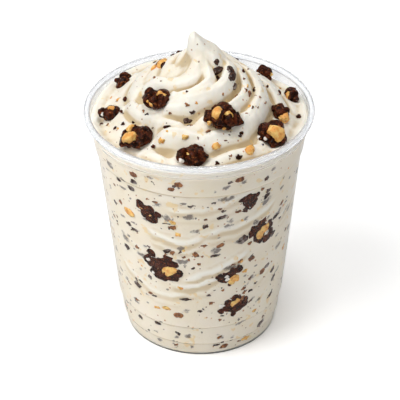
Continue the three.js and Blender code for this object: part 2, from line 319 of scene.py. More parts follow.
# %% Turn the outline into the cup
def cup_outline():
    underside = [(0.0, 2.0), (29.0, 2.0), (30.3, 2.0), (31.9, 0.0)]
    outer = softened(underside + OUTSIDE + [(46.5, 104.8)], 0.5)
    rolled = arc(RIM_MIDDLE, RIM_INNER, 180, -104, 22)
    lip = arc(RIM_MIDDLE, RIM_OUTER, -104, 180, 30)
    inner = softened(INSIDE[::-1] + [(0.0, FLOOR_TOP)], 0.5)
    return outer + rolled + lip + inner[1:]


CUP_SIDES = 240
RIM_FROM = 102.8


def turned(outline, sides):
    angles = np.linspace(0, 2 * math.pi, sides, endpoint=False)
    rings = []
    for r, z in outline:
        if r < 1e-6:
            rings.append(np.array([[0.0, 0.0, z]]))
        else:
            height = np.full(sides, z)
            rings.append(np.stack([r * np.cos(angles), r * np.sin(angles), height], axis=1))
    return rings


# %% [markdown]
# ## Clear plastic
# The wall is real geometry with two faces, so a shader that bends light shows the bright and grey
# lines of the rim and the steps; at the steps a painted shadow line on the cream behind adds to them.
# Light from the lamps could hardly find its way through such a wall, so a Light Path node lets
# shadow rays pass straight on to the cream.
# Fine ripples from the mould break up the reflections. The rolled rim holds a little haze and fine
# slanted lines, which make it a pale grey band instead of a dark one.

# %% Make the clear finish and the cup
def clear_plastic(name, bending, tint, ripples, clearness, lines=0.0):
    """ripples and lines are depths in millimetres; lines are fine, and slant across the rim."""
    look = Finish(name)
    ripple = look.noise(9.0, 2.0) + 0.25 * look.noise(2.5, 2.0)
    normal = look.bump(ripple, ripples)
    if lines:
        x, y, z = (look.node("ShaderNodeSeparateXYZ", inputs={"Vector": look.place}, output=a) for a in "XYZ")
        round_it = x.sum_with("ARCTAN2", x, 0.0 - y) * RIM_MIDDLE[0] * MM
        slanted = look.node("ShaderNodeCombineXYZ", inputs={"X": round_it + z, "Y": 0.3 * z})
        normal = look.bump(look.noise(1.1, 2.0, 0.5, slanted), lines, normal)
    body = look.node("ShaderNodeBsdfPrincipled", inputs={
        "Base Color": (*tint, 1.0),
        "Roughness": 0.02,
        "IOR": bending,
        "Transmission Weight": clearness,
        "Normal": normal,
    })
    passing = look.node("ShaderNodeBsdfTransparent", inputs={"Color": (0.97, 0.97, 0.97, 1.0)})
    shadow = look.node("ShaderNodeLightPath", output="Is Shadow Ray")
    return look.show(look.node("ShaderNodeMixShader", inputs={0: shadow, 1: body, 2: passing}))


cup_rings = turned(cup_outline(), CUP_SIDES)
in_rim = []
for below, above in zip(cup_rings, cup_rings[1:]):
    middle_height = (below[0, 2] + above[0, 2]) / 2
    in_rim += [int(middle_height > RIM_FROM)] * max(len(below), len(above))
add_piece(
    "cup_clear", np.concatenate(cup_rings), skin(cup_rings),
    [clear_plastic("clear_wall", 1.22, (0.985, 0.99, 0.995), 0.05, 1.0),
     clear_plastic("clear_rim", 1.42, (0.965, 0.975, 0.99), 0.01, 0.78, 0.12)],
    ["cup"], in_rim,
)

# %% [markdown]
# ## The mound of cream
# Soft ice cream is drawn up from the wall to a tip that falls over to one side. Thick folds wind
# out from it clockwise, each with a soft back and a steeper outer face. A height over the plan
# does this well, because nothing overhangs but the tip. The same named folds are in the solids.

# %% The mound's height
PEAK = 141.8
MOUND = (1.4, 1.0)
EDGE_RADIUS = 45.9
FILL_WAVES = [(125, 2.2, 30), (48, -3.2, 28), (-90, 0.6, 55), (180, -0.8, 25)]
# Each fold: bearing where it starts, sweep, first and last radius, power, lift, width.
FOLDS = [
    (-92, 115, 0.0, 24.5, 0.42, 2.8, 3.4),
    (0, 160, 2.0, 26.0, 1.0, 2.2, 2.6),
    (25, 200, 8.5, 32.0, 1.25, 2.6, 2.9),
    (40, 205, 12.5, 32.5, 0.75, 2.4, 3.0),
    (75, 205, 15.5, 37.0, 0.75, 3.4, 3.4),
    (-150, 190, 5.0, 27.0, 0.8, 2.5, 3.8),
    (-205, 150, 26.0, 35.0, 1.0, 2.0, 3.4),
]


def fill_height(bearing):
    away = [(np.mod(bearing - middle + 180, 360) - 180, rise, spread)
            for middle, rise, spread in FILL_WAVES]
    return 101.0 + sum(rise * np.exp(-((a / spread) ** 2)) for a, rise, spread in away)


def fold_height(fold, r, bearing):
    start, sweep, inner, outer, power, lift, width = fold
    along = np.mod(start - bearing, 360) / sweep
    inside = along <= 1
    along = np.minimum(along, 1)
    s = (r - inner - (outer - inner) * along**power) / width
    ridge = np.exp(-((s / np.where(s < 0, 1.3, 0.75)) ** 2))
    groove = 0.25 * np.exp(-(((s - 1.4) / 0.6) ** 2))
    strands = 0.07 * np.sin(9.0 * s + 6 * along) * np.exp(-((s / 1.6) ** 2))
    fade = smooth_step(along / 0.12) * smooth_step((1 - along) / 0.3)
    return np.where(inside, lift * (ridge - groove + strands) * fade, 0.0)


def from_tip(x, y):
    """Reach and bearing round the mound's middle, which leans to the left near the tip."""
    near = np.exp(-((x - MOUND[0]) ** 2 + (y - MOUND[1]) ** 2) / 36.0)
    dx = x - MOUND[0] + 2.6 * near
    dy = y - MOUND[1]
    return np.hypot(dx, dy), np.degrees(np.arctan2(dy, dx))


def bare_cone(x, y):
    """The mound without its folds."""
    fill = fill_height(np.degrees(np.arctan2(y, x)))
    t = np.clip(np.hypot(from_tip(x, y)[0] / 46.4, 0.03) - 0.03, 0, 1)
    edge = np.clip((np.hypot(x, y) - EDGE_RADIUS + 2.5) / 2.5, 0, 1)
    return fill + (PEAK - fill) * (1 - t) ** 1.34 - 1.6 * (1 - np.sqrt(1 - edge * edge))


def plain_mound(x, y):
    """The height that the solids have too."""
    r, bearing = from_tip(x, y)
    return bare_cone(x, y) + sum(fold_height(fold, r, bearing) for fold in FOLDS)


print("height at the tip:", round(float(plain_mound(np.array(-1.2), np.array(1.0))), 1), "mm")

# %% [markdown]
# ## Where the chunks lie
# Chunks of chocolate and peanut as large as berries lie on the mound and are pressed against the
# wall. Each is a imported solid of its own, so the same places and sizes are used here.

# %% Places and sizes of the chunks
# On top: bearing, reach, half sizes and turn.
TOP_CHUNKS = [
    (140, 41.2, (3.7, 3.5, 3.4), 0),
    (-175, 37.8, (5.0, 3.3, 3.2), -10),
    (-140, 23.3, (6.6, 4.8, 4.6), -20),
    (-135, 35.8, (7.0, 5.3, 4.5), 22),
    (-95, 37.7, (7.1, 4.5, 4.0), -14),
    (-68, 27.5, (8.4, 5.8, 5.2), -8),
    (47, 39.6, (3.7, 3.5, 3.6), 35),
    (14, 40.6, (3.2, 4.0, 3.6), 15),
    (-17, 35.0, (4.3, 3.5, 3.3), -25),
    (-38, 38.4, (6.4, 5.2, 5.0), 12),
    (84, 27.0, (5.6, 4.4, 3.9), 30),
    (104, 37.0, (4.6, 3.7, 3.4), 70),
    (71, 39.6, (5.2, 3.9, 3.6), -20),
]
# At the wall: bearing, height, half sizes along, up and deep, tilt, and for those round the back
# the nut that faces outwards, as shares along and up, and its size.
WALL_CHUNKS = [
    (-121, 79.4, (7.2, 5.2, 3.8), 40, None),
    (-114, 50.3, (10.0, 8.8, 5.4), 20, None),
    (-61, 84.0, (5.8, 6.4, 3.8), 15, None),
    (-51, 65.5, (6.8, 7.8, 4.2), -20, None),
    (-72, 46.2, (6.8, 5.8, 4.0), 25, None),
    (-69, 28.9, (8.2, 5.8, 4.2), -10, None),
    (8, 74.0, (7.8, 6.2, 4.2), 35, (0.2, 0.2, 2.2)),
    (38, 44.0, (6.8, 7.4, 4.0), -15, (-0.2, -0.3, 2.0)),
    (74, 80.0, (7.4, 5.8, 4.0), 10, (0.3, -0.2, 2.4)),
    (96, 33.0, (9.0, 7.2, 4.8), -30, (-0.3, 0.3, 2.6)),
    (128, 66.0, (6.8, 6.4, 4.0), 30, (0.1, -0.3, 1.9)),
    (160, 41.0, (8.0, 6.2, 4.4), 15, (-0.3, 0.1, 2.3)),
]


def polar(bearing, reach):
    return reach * math.cos(math.radians(bearing)), reach * math.sin(math.radians(bearing))


print("chunks:", len(TOP_CHUNKS), "on top,", len(WALL_CHUNKS), "at the wall")

# %% [markdown]
# ## Ropes of cream
# The solids hold the folds as low waves. On the real mound they are round ropes: each has a soft
# inner side and a steep outer one with a shaded groove under it. A rope is a line in plan, drawn
# from the tip clockwise, with a lift and a width. The distance to each line is worked out once on
# a fine square grid, because many later steps ask for the height.

# %% Lines of the ropes
# Each rope: lift, width, and points (x, y) along its crest.
ROPES = [
    (2.6, 3.3, [(-0.8, 0.6), (0.6, -2.5), (1.0, -4.8), (0.1, -6.8), (-1.5, -8.6), (-3.6, -9.8),
                (-6.1, -10.5), (-9.4, -10.3), (-12.7, -9.3), (-16.1, -7.4), (-20.3, -2.8), (-22, 4)]),
    (0.5, 1.3, [(-2.3, -1.4), (-2.7, -3.6), (-4.4, -5.2), (-6.9, -6.4), (-9.8, -6.2), (-14, -3.9),
                (-18.2, -0.7)]),
    (2.5, 2.4, [(3.0, -1.0), (3.2, -4.5), (3.6, -7.5), (4.4, -10.6), (5.0, -12.3), (4.1, -14.2), (2.1, -16.0),
                (-0.8, -17.2), (-4.5, -17.9), (-8.6, -17.6), (-12.7, -16.5), (-17, -13), (-21, -8)]),
    (1.0, 1.6, [(4.5, 0.5), (7.2, -2.2), (9.6, -4.0), (10.8, -6.4), (9.5, -10.0)]),
    (2.7, 2.6, [(-1.1, 5.3), (2.7, 8.4), (9.1, 6.4), (12.1, -0.2), (13.7, -3.0), (12.8, -7.4), (12.0, -10.9),
                (10.3, -14.3), (7.4, -17.0), (3.7, -18.7), (-0.4, -19.9), (-3.7, -20.8), (-7.8, -20.8),
                (-11.9, -19.8), (-16.1, -18.8), (-20.4, -17.2), (-25, -12)]),
    (2.2, 2.3, [(-4.0, 5.5), (0.6, 10.5), (9.4, 10.2), (15.2, 6.0), (17.5, -0.5), (18.9, -5.1), (20.3, -8.6),
                (19.7, -13.3), (16.3, -18.1), (13.0, -21.1), (8.5, -23.5)]),
    (3.2, 2.9, [(-7.8, 3.5), (-6.3, 10.2), (1.4, 15.2), (12.3, 12.6), (20.2, 6.4), (23.1, 2.4), (25.1, -1.1),
                (26.2, -6.2), (26.0, -11.5), (24.2, -16.4), (22.0, -20.8), (19.1, -24.3), (15.7, -27.6),
                (11.6, -30.4), (7.5, -32.5), (2.6, -33.5), (-1.4, -33.1), (-5.5, -31.8), (-11.1, -30.3),
                (-16.1, -29.0), (-21, -27)]),
    (1.3, 1.8, [(7.1, -30.0), (1.9, -29.8), (-1.8, -29.0), (-5.4, -28.6), (-9.1, -28.7), (-13.0, -28.3)]),
    (1.7, 1.8, [(-4.0, -27.6), (-8.7, -26.9), (-11.9, -25.2), (-16.1, -22.7), (-20.2, -19.1), (-24.4, -14.2),
                (-27.9, -8.6), (-29.5, -1)]),
    (1.3, 2.0, [(30, -27), (25.5, -31.2), (20.5, -33.5), (16.4, -34.6), (13.1, -36.2), (9.1, -38.2),
                (5.0, -39.2), (0.1, -40.4)]),
    (1.0, 1.7, [(-12.0, -38.4), (-16.1, -36.4), (-19.3, -33.9), (-24, -28.5)]),
    (1.3, 2.6, [(-13.6, 1.0), (-12.4, 12.6), (-2.2, 21.7), (13.6, 21.6), (25.6, 14.4), (31.4, 6.4),
                (34.4, -2.0), (36.5, -9)]),
    (1.2, 2.8, [(-25.2, -3.7), (-28, 8), (-21.6, 20.3), (-4.3, 31.5), (13.4, 32.4), (27, 25), (34, 16)]),
]
ROPE_RISE = 1.35
GRID_STEP = 0.3
GRID = np.arange(-48.0, 48.01, GRID_STEP)


def corners_cut(points):
    """Twice cuts the corners of a line, which makes it a soft curve."""
    line = np.array(points, float)
    for _ in range(2):
        first = 0.75 * line[:-1] + 0.25 * line[1:]
        second = 0.25 * line[:-1] + 0.75 * line[1:]
        line = np.vstack([line[:1], np.stack([first, second], axis=1).reshape(-1, 2), line[-1:]])
    return line


def beside_line(line, x, y):
    """For each spot: distance to a line, positive on its left, and how far along it is."""
    nearest = np.full(x.shape, 1e9)
    side = np.ones(x.shape)
    along = np.zeros(x.shape)
    travelled = 0.0
    for a, b in zip(line, line[1:]):
        step = b - a
        length = np.hypot(*step)
        t = np.clip(((x - a[0]) * step[0] + (y - a[1]) * step[1]) / length**2, 0, 1)
        off_x, off_y = x - a[0] - t * step[0], y - a[1] - t * step[1]
        squared = off_x**2 + off_y**2
        closer = squared < nearest
        nearest = np.where(closer, squared, nearest)
        side = np.where(closer, np.sign(step[0] * off_y - step[1] * off_x), side)
        along = np.where(closer, travelled + t * length, along)
        travelled += length
    return np.sqrt(nearest) * side, along, travelled


def rope_relief():
    x, y = np.meshgrid(GRID, GRID)
    ridges = np.zeros(x.shape)
    grooves = np.zeros(x.shape)
    for k, (lift, width, points) in enumerate(ROPES):
        gap, along, total = beside_line(corners_cut(points), x, y)
        s = gap / width
        fade = smooth_step((along + 1.5 * (k == 0)) / 5.0) * smooth_step((total - along) / 9.0)
        spot = np.stack([along / 9.0, 0 * along, 0 * along], axis=-1)
        fade = fade * (1 + 0.16 * lumps(spot, 1.0, 150 + k))
        ridge = np.clip(1 - (np.abs(s) / np.where(s < 0, 1.4, 1.2)) ** 2.1, 0, 1) ** 0.85
        strands = 0.035 * np.sin(7.0 * s + 0.5 * along / width)
        ridges = ridges + (lift * fade * ridge * (1 + strands)) ** 3
        depth = 0.75 if k == 0 else 0.55
        grooves = np.maximum(grooves, lift * fade * depth * np.exp(-(((s - 1.55) / 0.6) ** 2)))
    ridges = np.cbrt(ridges)
    return ROPE_RISE * (ridges - grooves * (1 - np.clip(ridges / 1.6, 0, 1)))


def grid_value(grid, x, y):
    """Reads a grid between its points."""
    u = np.clip((np.asarray(x) - GRID[0]) / GRID_STEP, 0, len(GRID) - 1.001)
    v = np.clip((np.asarray(y) - GRID[0]) / GRID_STEP, 0, len(GRID) - 1.001)
    i, j = u.astype(int), v.astype(int)
    a, b = u - i, v - j
    low = grid[j, i] * (1 - a) + grid[j, i + 1] * a
    high = grid[j + 1, i] * (1 - a) + grid[j + 1, i + 1] * a
    return low * (1 - b) + high * b


ROPE_GRID = rope_relief()
print("ropes stand up to", round(float(ROPE_GRID.max()), 1), "mm proud")

# %% [markdown]
# ## Finer relief on the mound
# Churned ice cream isn't smooth: there are low lumps and pores, and where a chunk was pushed in,
# the cream stands up round it in a broken lip. The tip is a soft fin, upright on its left and
# falling away in a slope on its right, as cream does when the nozzle is drawn off to one side.

# %% The mound as it is shown
FIN_AT = (-1.5, 2.0)
FIN_WIDTH = 2.9
FIN_TOP = 141.8
FIN_DROP, FIN_LENGTH, FIN_END = 12.5, 11.0, 7.0
FIN_BLEND = 2.2


def by_chunks(x, y):
    """For each spot: 1 under a chunk and 0 away from all, and the lip of cream round them."""
    under = np.zeros_like(x)
    lips = np.zeros_like(x)
    for k, (bearing, reach, half, turn) in enumerate(TOP_CHUNKS):
        cx, cy = polar(bearing, reach)
        c, s = math.cos(math.radians(turn)), math.sin(math.radians(turn))
        u = ((x - cx) * c + (y - cy) * s) / half[0]
        v = (-(x - cx) * s + (y - cy) * c) / half[1]
        q = np.hypot(u, v)
        broken = 0.5 + 0.8 * lumps(np.stack([x, y, 0 * x], axis=-1), 2.4, 60 + k)
        lips += 0.8 * broken * np.exp(-(((q - 1.12) / 0.2) ** 2)) - 0.5 * np.exp(-((q / 0.8) ** 4))
        under = np.maximum(under, np.exp(-((q / 1.25) ** 4)))
    return under, lips


EDGE_CLIMB, CLIMB_FROM, CLIMB_WIDTH = 3.0, 41.0, 4.9


def slimmed(x, y):
    """How much the top is drawn in under the tip, most of all on its left."""
    reach = np.hypot(x - FIN_AT[0], y - FIN_AT[1])
    left = np.exp(-(((x + 6.2) / 2.8) ** 2) - ((y - 2.0) / 5.0) ** 2)
    right = np.exp(-(((x - 11.0) / 6.0) ** 2) - ((y - 3.0) / 8.0) ** 2)
    under_tip = 1.6 * np.exp(-((reach / 3.0) ** 2))
    behind = 2.8 * np.exp(-(((x - 17.0) / 9.0) ** 2) - ((y - 9.0) / 9.0) ** 2)
    behind = behind + 0.7 * np.exp(-(((x + 16.0) / 8.0) ** 2) - ((y - 9.0) / 9.0) ** 2)
    around = 5.2 * np.exp(-(((reach - 9.0) / 6.5) ** 2)) + 3.8 * left + 1.4 * right
    return around + under_tip + behind


def cream_height(x, y):
    x, y = np.asarray(x, float), np.asarray(y, float)
    r, bearing = from_tip(x, y)
    under, lips = by_chunks(x, y)
    folds = sum(fold_height(fold, r, bearing) for fold in FOLDS)
    climb = EDGE_CLIMB * smooth_step((np.hypot(x, y) - CLIMB_FROM) / CLIMB_WIDTH)
    base = bare_cone(x, y) - slimmed(x, y) + climb
    spot = np.stack([x, y, base], axis=-1)
    inner = smooth_step((EDGE_RADIUS - np.hypot(x, y)) / 3)
    base = base + inner * (under * folds + (1 - under) * grid_value(ROPE_GRID, x, y))
    away = smooth_step((np.hypot(x - FIN_AT[0], y - FIN_AT[1]) - 2) / 8)
    rough = 0.30 * layered(spot, 5.0, 3, 7) + 0.12 * layered(spot, 1.5, 2, 20)
    front = np.where(y < FIN_AT[1], 0.6, 1.0)
    down = np.maximum(x - FIN_AT[0], 0)
    broader = 1 + 0.10 * np.minimum(down, 8)
    q = np.hypot(np.minimum(x - FIN_AT[0], 0), (y - FIN_AT[1]) * front / broader) / FIN_WIDTH
    slope = FIN_DROP * (1 - np.exp(-down / FIN_LENGTH)) + 0.12 * np.maximum(down - FIN_END, 0) ** 2
    fin = FIN_TOP - slope - 0.8 * q**2 - 3.0 * np.minimum(q, 3) ** 6
    gap = np.clip(0.5 + 0.5 * (fin - base) / FIN_BLEND, 0, 1)
    base = base * (1 - gap) + fin * gap + FIN_BLEND * gap * (1 - gap)
    return base + inner * away * rough + inner * lips


print("height at the tip:", round(float(cream_height(-1.2, 1.0)), 1), "mm")

# %% [markdown]
# ## Cream behind the wall
# The cream is pressed flat against the plastic, but swirls still show as soft bands: a painted
# highlight along each crest and painted beige shade below it. Cream that fills a clear cup is
# modelled reaching just into the wall, so that no gap of air shows. The crests reach in a little
# further than the rest.

# %% Swirls and relief at the wall
# Each swirl: points of (bearing, height) along its crest, and how strong it is.
SWIRLS = [
    ([(-124, 69.4), (-117, 67.3), (-110, 66.0), (-103, 65.2), (-97, 65.6), (-91, 67.8), (-86, 70.0)], 1.0),
    ([(-89, 69.8), (-79, 71.6), (-69, 72.2), (-59, 74.5), (-49, 76.6), (-40, 80.0)], 0.9),
    ([(-110, 82.6), (-98, 82.4), (-88, 83.0), (-77, 85.2), (-66, 87.8), (-56, 90.0)], 0.7),
    ([(-101, 44.4), (-91, 47.4), (-82, 49.8), (-75, 51.8), (-66, 55.0), (-58, 58.0)], 1.0),
    ([(-112, 41.8), (-104, 40.8), (-94, 40.8), (-85, 43.2), (-78, 45.8)], 0.8),
    ([(-152, 45.0), (-144, 41.2), (-135, 38.3), (-128, 36.4), (-121, 34.6), (-111, 34.4), (-100, 35.4)], 0.7),
    ([(-146, 62.0), (-137, 58.0), (-129, 55.4), (-122, 54.6)], 0.5),
    ([(-62, 35.0), (-52, 37.2), (-42, 41.0), (-34, 46.0)], 0.5),
    ([(-120, 87.0), (-106, 88.4), (-94, 88.0)], 0.4),
    ([(-40, 66.0), (-28, 69.0), (-14, 74.0), (0, 80.0)], 0.7),
    ([(-20, 46.0), (-4, 47.5), (14, 52.0), (30, 58.0)], 0.9),
    ([(20, 80.0), (38, 76.5), (56, 75.6), (74, 78.0)], 0.9),
    ([(46, 52.0), (64, 48.0), (84, 47.2), (104, 50.0), (118, 54.0)], 1.0),
    ([(84, 72.0), (100, 67.4), (118, 66.0), (136, 69.0)], 0.8),
    ([(112, 38.0), (130, 34.0), (150, 33.6), (168, 37.0)], 0.9),
    ([(130, 86.0), (148, 82.0), (166, 81.4), (182, 84.0)], 0.8),
    ([(150, 60.0), (170, 55.6), (190, 55.0), (206, 58.0)], 0.9),
    ([(10, 28.0), (30, 25.0), (52, 24.6), (72, 27.0)], 0.6),
    ([(172, 27.0), (190, 24.6), (208, 25.4)], 0.5),
]


def swirl_profile(bearing, height):
    """Two numbers for each point: how far a crest stands out, and how deep in shade it lies. Both shape the
    relief, and both are painted into the cream's colour as highlight and shade.
    """
    crest = np.zeros_like(height)
    shade = np.zeros_like(height)
    torn = layered(np.stack([0.72 * bearing, height, 0 * height], axis=-1), 4.0, 2, 31)
    for points, strength in SWIRLS:
        bearings = np.array([b for b, _ in points], float)
        middle = bearings.mean()
        b = np.mod(bearing - middle + 180, 360) - 180 + middle
        line = np.interp(b, bearings, [z for _, z in points])
        ends = smooth_step((b - bearings[0] + 2) / 9) * smooth_step((bearings[-1] + 2 - b) / 9)
        above = height - line + 0.7 * torn
        width = np.where(above > 0, 1.9, 0.9)
        second = 0.5 * np.exp(-(((above + 4.6) / 0.9) ** 2)) + 0.4 * np.exp(-(((above - 4.2) / 1.0) ** 2))
        crest += strength * ends * (np.exp(-((above / width) ** 2)) + second)
        below = np.exp(-(((above + 2.4) / 1.5) ** 2)) + 0.5 * np.exp(-(((above - 2.7) / 0.9) ** 2))
        below += 0.7 * np.exp(-(((above + 6.6) / 1.6) ** 2))
        shade += strength * ends * below
    return np.clip(crest, 0, 1.2), np.clip(shade, 0, 1.2)


# %% [markdown]
# ## Bits in the cream
# Besides the chunks there are many small bits: dark chocolate, brown crumbs, gold nut. Those that
# show best keep the places that they have in the picture; the others are spread by seeded chance.
# Bits that lie deeper behind a film of cream only tint it grey, so they're kept as a stain.

# %% Places of the small bits
# At the wall: bearing, height, length, width.
WALL_BITS = {
    "dark": [
        (-141, 89.1, 2.9, 2.2), (-95, 85.6, 2.6, 1.3), (-137, 67.2, 3.6, 1.7), (-132, 65.7, 4.0, 1.8),
        (-142, 52.7, 4.2, 2.6), (-110, 74.9, 3.4, 0.6), (-102, 60.2, 1.2, 1.0), (-95, 51.8, 1.6, 1.0),
        (-124, 41.9, 1.9, 1.3), (-136, 34.0, 4.4, 2.4), (-85, 36.1, 2.4, 1.1), (-122, 31.7, 1.7, 1.2),
        (-52, 94.0, 2.4, 1.8), (-74, 97.6, 1.8, 1.4), (-49, 86.2, 3.0, 2.0), (-78, 78.9, 4.0, 1.4),
        (-64, 80.4, 3.1, 2.6), (-64, 64.6, 4.8, 4.0), (-41, 60.3, 4.2, 2.2), (-81, 58.5, 4.0, 1.2),
        (-43, 43.5, 3.4, 2.0), (-34, 32.9, 3.6, 2.2), (-56, 33.7, 2.2, 1.3), (-35, 23.9, 3.0, 1.8),
        (-100, 33.6, 5.2, 1.1), (-91, 27.1, 2.0, 0.9), (-88, 28.0, 1.2, 0.8), (-68, 22.7, 2.3, 1.5),
        (-139, 13.5, 3.0, 1.8), (-122, 15.4, 2.7, 1.8), (-79, 5.3, 2.8, 1.0), (-42, 9.2, 3.6, 2.6),
    ],
    "brown": [
        (-127, 97.2, 3.7, 2.6), (-101, 97.5, 3.8, 2.7), (-105, 94.6, 2.5, 1.8), (-116, 85.3, 2.1, 1.2),
        (-132, 56.3, 2.3, 1.6), (-106, 73.3, 3.4, 2.0), (-87, 78.3, 1.5, 1.0), (-88, 64.3, 2.4, 1.4),
        (-100, 57.7, 1.5, 1.1), (-97, 56.3, 1.3, 1.0), (-91, 54.1, 1.7, 1.4), (-89, 58.8, 1.4, 0.7),
        (-69, 98.4, 4.0, 2.6), (-79, 83.6, 1.7, 1.1), (-68, 80.6, 2.4, 1.2), (-59, 61.3, 2.7, 1.5),
        (-78, 63.9, 3.4, 1.8), (-57, 52.1, 3.4, 2.8), (-47, 41.7, 3.4, 2.6), (-57, 41.4, 2.1, 1.3),
        (-35, 74.2, 3.6, 1.1), (-83, 31.9, 2.4, 1.1), (-77, 21.0, 1.6, 1.0), (-139, 23.9, 1.7, 1.2),
        (-105, 23.6, 4.4, 2.9), (-73, 3.9, 3.6, 2.4), (-76, 38.2, 1.4, 0.9), (-55, 27.6, 1.8, 1.0),
    ],
    "nut": [
        (-135, 74.2, 6.4, 3.8), (-106, 76.0, 2.6, 1.5), (-103, 69.8, 3.0, 2.0), (-103, 40.1, 2.1, 1.6),
        (-64, 52.4, 1.7, 1.3), (-61, 46.4, 2.4, 1.6), (-114, 26.6, 4.0, 1.6), (-56, 4.8, 2.6, 1.5),
        (-67, 54.8, 1.2, 1.0),
    ],
}
# Sunk in: bearing, height, length, width.
STAINS = [
    (-117, 98.3, 4, 2.0), (-138, 85.6, 5, 2.2), (-152, 89.3, 4, 2.2), (-99, 87.0, 3.4, 1.6),
    (-144, 59.7, 3.4, 2.4), (-92, 72.3, 3.6, 2.4), (-101, 55.0, 7.4, 3.0), (-131, 44.2, 2.4, 1.6),
    (-148, 32.4, 4, 2.4), (-128, 30.9, 3, 1.8), (-48, 97.2, 3.2, 2.4), (-76, 95.1, 3.4, 2.6),
    (-67, 96.0, 3.2, 2.2), (-82, 93.2, 2, 1.6), (-80, 88.4, 2.4, 1.8), (-73, 76.4, 3.2, 2.2),
    (-37, 71.0, 4.8, 2.6), (-29, 68.2, 5.0, 2.2), (-81, 61.2, 4.8, 4.0), (-29, 35.9, 4.2, 2.4),
    (-48, 25.9, 4.8, 1.8), (-100, 26.7, 4.2, 2.2), (-125, 9.6, 3, 1.8), (-108, 10.1, 3, 2.2),
    (-111, 5.4, 2, 1.4), (-97, 4.4, 3, 2.2), (-76, 10.0, 4.8, 2.4), (-67, 8.9, 3, 1.6),
    (-50, 80.5, 4.5, 3.5), (-56, 71.5, 4.0, 3.0), (-122, 74.0, 5.0, 2.4), (-77, 46.0, 5.0, 4.0),
]
# On top: bearing, reach, length, width.
TOP_BITS = {
    "dark": [
        (146, 18.0, 3.4, 2.4),
        (-116, 30.4, 3.0, 2.0), (-67, 40.1, 2.6, 2.0), (173, 31.4, 3.4, 1.8), (-6, 42.0, 3.2, 2.0),
        (9, 34.2, 2.4, 1.8), (-151, 31.0, 1.7, 1.4), (-159, 37.4, 1.7, 1.3), (-157, 34.4, 1.7, 1.4),
        (-121, 36.1, 1.7, 1.4), (-59, 33.3, 1.7, 1.3), (-80, 40.8, 1.6, 1.3), (-109, 15.0, 1.3, 1.1),
        (-47, 11.0, 1.2, 1.0), (133, 24.6, 3.4, 2.4), (-98, 26.6, 2.6, 1.6), (-33, 34.2, 2.6, 2.0),
        (-30, 16.0, 2.0, 1.2), (-170, 33.0, 2.4, 1.0), (-172, 41.5, 2.6, 1.0),
    ],
    "brown": [
        (-31, 24.1, 2.4, 1.8), (-83, 30.8, 2.4, 1.6), (-44, 21.6, 1.6, 1.2), (-102, 22.6, 1.6, 1.2),
        (-118, 25.0, 1.0, 0.8), (-26, 28.0, 1.0, 0.8), (-60, 20.0, 0.9, 0.8), (-130, 30.0, 1.0, 0.8),
    ],
    "filmed": [
        (-34, 16.9, 6.6, 4.0), (-30, 15.2, 4.0, 3.0), (-38, 18.6, 3.6, 2.8), (-42, 10.6, 5.8, 3.8),
        (-48, 12.0, 3.6, 2.6), (-38, 9.4, 2.8, 2.2), (-101, 24.4, 4.4, 2.6), (-97, 23.4, 2.4, 1.8),
    ],
    "nut": [
        (136, 21.2, 6.8, 4.6), (-59, 39.5, 4.6, 3.6), (-79, 35.8, 3.6, 2.6), (-100, 32.7, 3.0, 1.6),
        (-116, 34.9, 2.8, 1.8), (-27, 22.4, 1.6, 1.0), (-40, 27.0, 1.4, 1.0), (142, 24.0, 3.6, 2.8),
    ],
}


def flow_angle(bearing):
    """How steeply the churned cream rises along the wall, in degrees from level."""
    return 5 + 25 * np.sin(np.radians(bearing + 100))


def beside(bearing, height, middle_bearing, middle_height, radius, angle):
    """Distances along and across a slanted streak at the wall."""
    away = np.mod(bearing - middle_bearing + 180, 360) - 180
    along = np.radians(away) * radius
    up = height - middle_height
    c, s = math.cos(math.radians(angle)), math.sin(math.radians(angle))
    return along * c + up * s, -along * s + up * c


def sunk_bits(bearing, height):
    """How grey the cream is where chocolate lies behind it."""
    draw = draws(77)
    spots = list(STAINS)
    for _ in range(240):
        length = 1.6 + 4.6 * next(draw) ** 2
        spots.append((360 * next(draw), 3 + 95 * next(draw), length, length * (0.4 + 0.3 * next(draw))))
    total = np.zeros_like(height)
    for b, z, length, width in spots:
        u, v = beside(bearing, height, b, z, 41.0, float(flow_angle(b)))
        total = np.maximum(total, np.exp(-((np.hypot(u / (0.5 * length), v / (0.5 * width))) ** 3)))
    return total


print("bits that keep their places:", sum(map(len, [*WALL_BITS.values(), *TOP_BITS.values()])))

# %% [markdown]
# ## One closed skin of cream
# Rings run across the cup's floor, up the wall, over the fill line and in to the tip. Blender
# could sculpt or remesh this, but rings keep the points even and let each carry its own notes: how
# hollow its place is, how near a swirl's crest and how deep in its shade, which paint highlight and
# shade into the colour, and how much it is stained.

# %% Build the cream's rings
COLUMNS = 400
# heights of the cup's steps, where the cream gets a painted shadow line
STEP_LEVELS = (6.8, 16.8, 90.65)
CORNER_LEVELS = (6.3, 6.5, 7.1, 7.4, 16.1, 16.4, 17.2, 17.5, 90.0, 90.25, 91.1, 91.4)
EVEN_LEVELS = (*np.arange(2.6, 89.8, 1.17), *np.arange(92.4, 101.3, 1.0))
WALL_LEVELS = sorted({*STEP_LEVELS, *CORNER_LEVELS, *EVEN_LEVELS})
MOUND_RINGS = 136
LAST_STEP = 91.4
REACH_IN = 0.10
CREST_OUT = 0.34
TIP = (-1.2, 1.0)


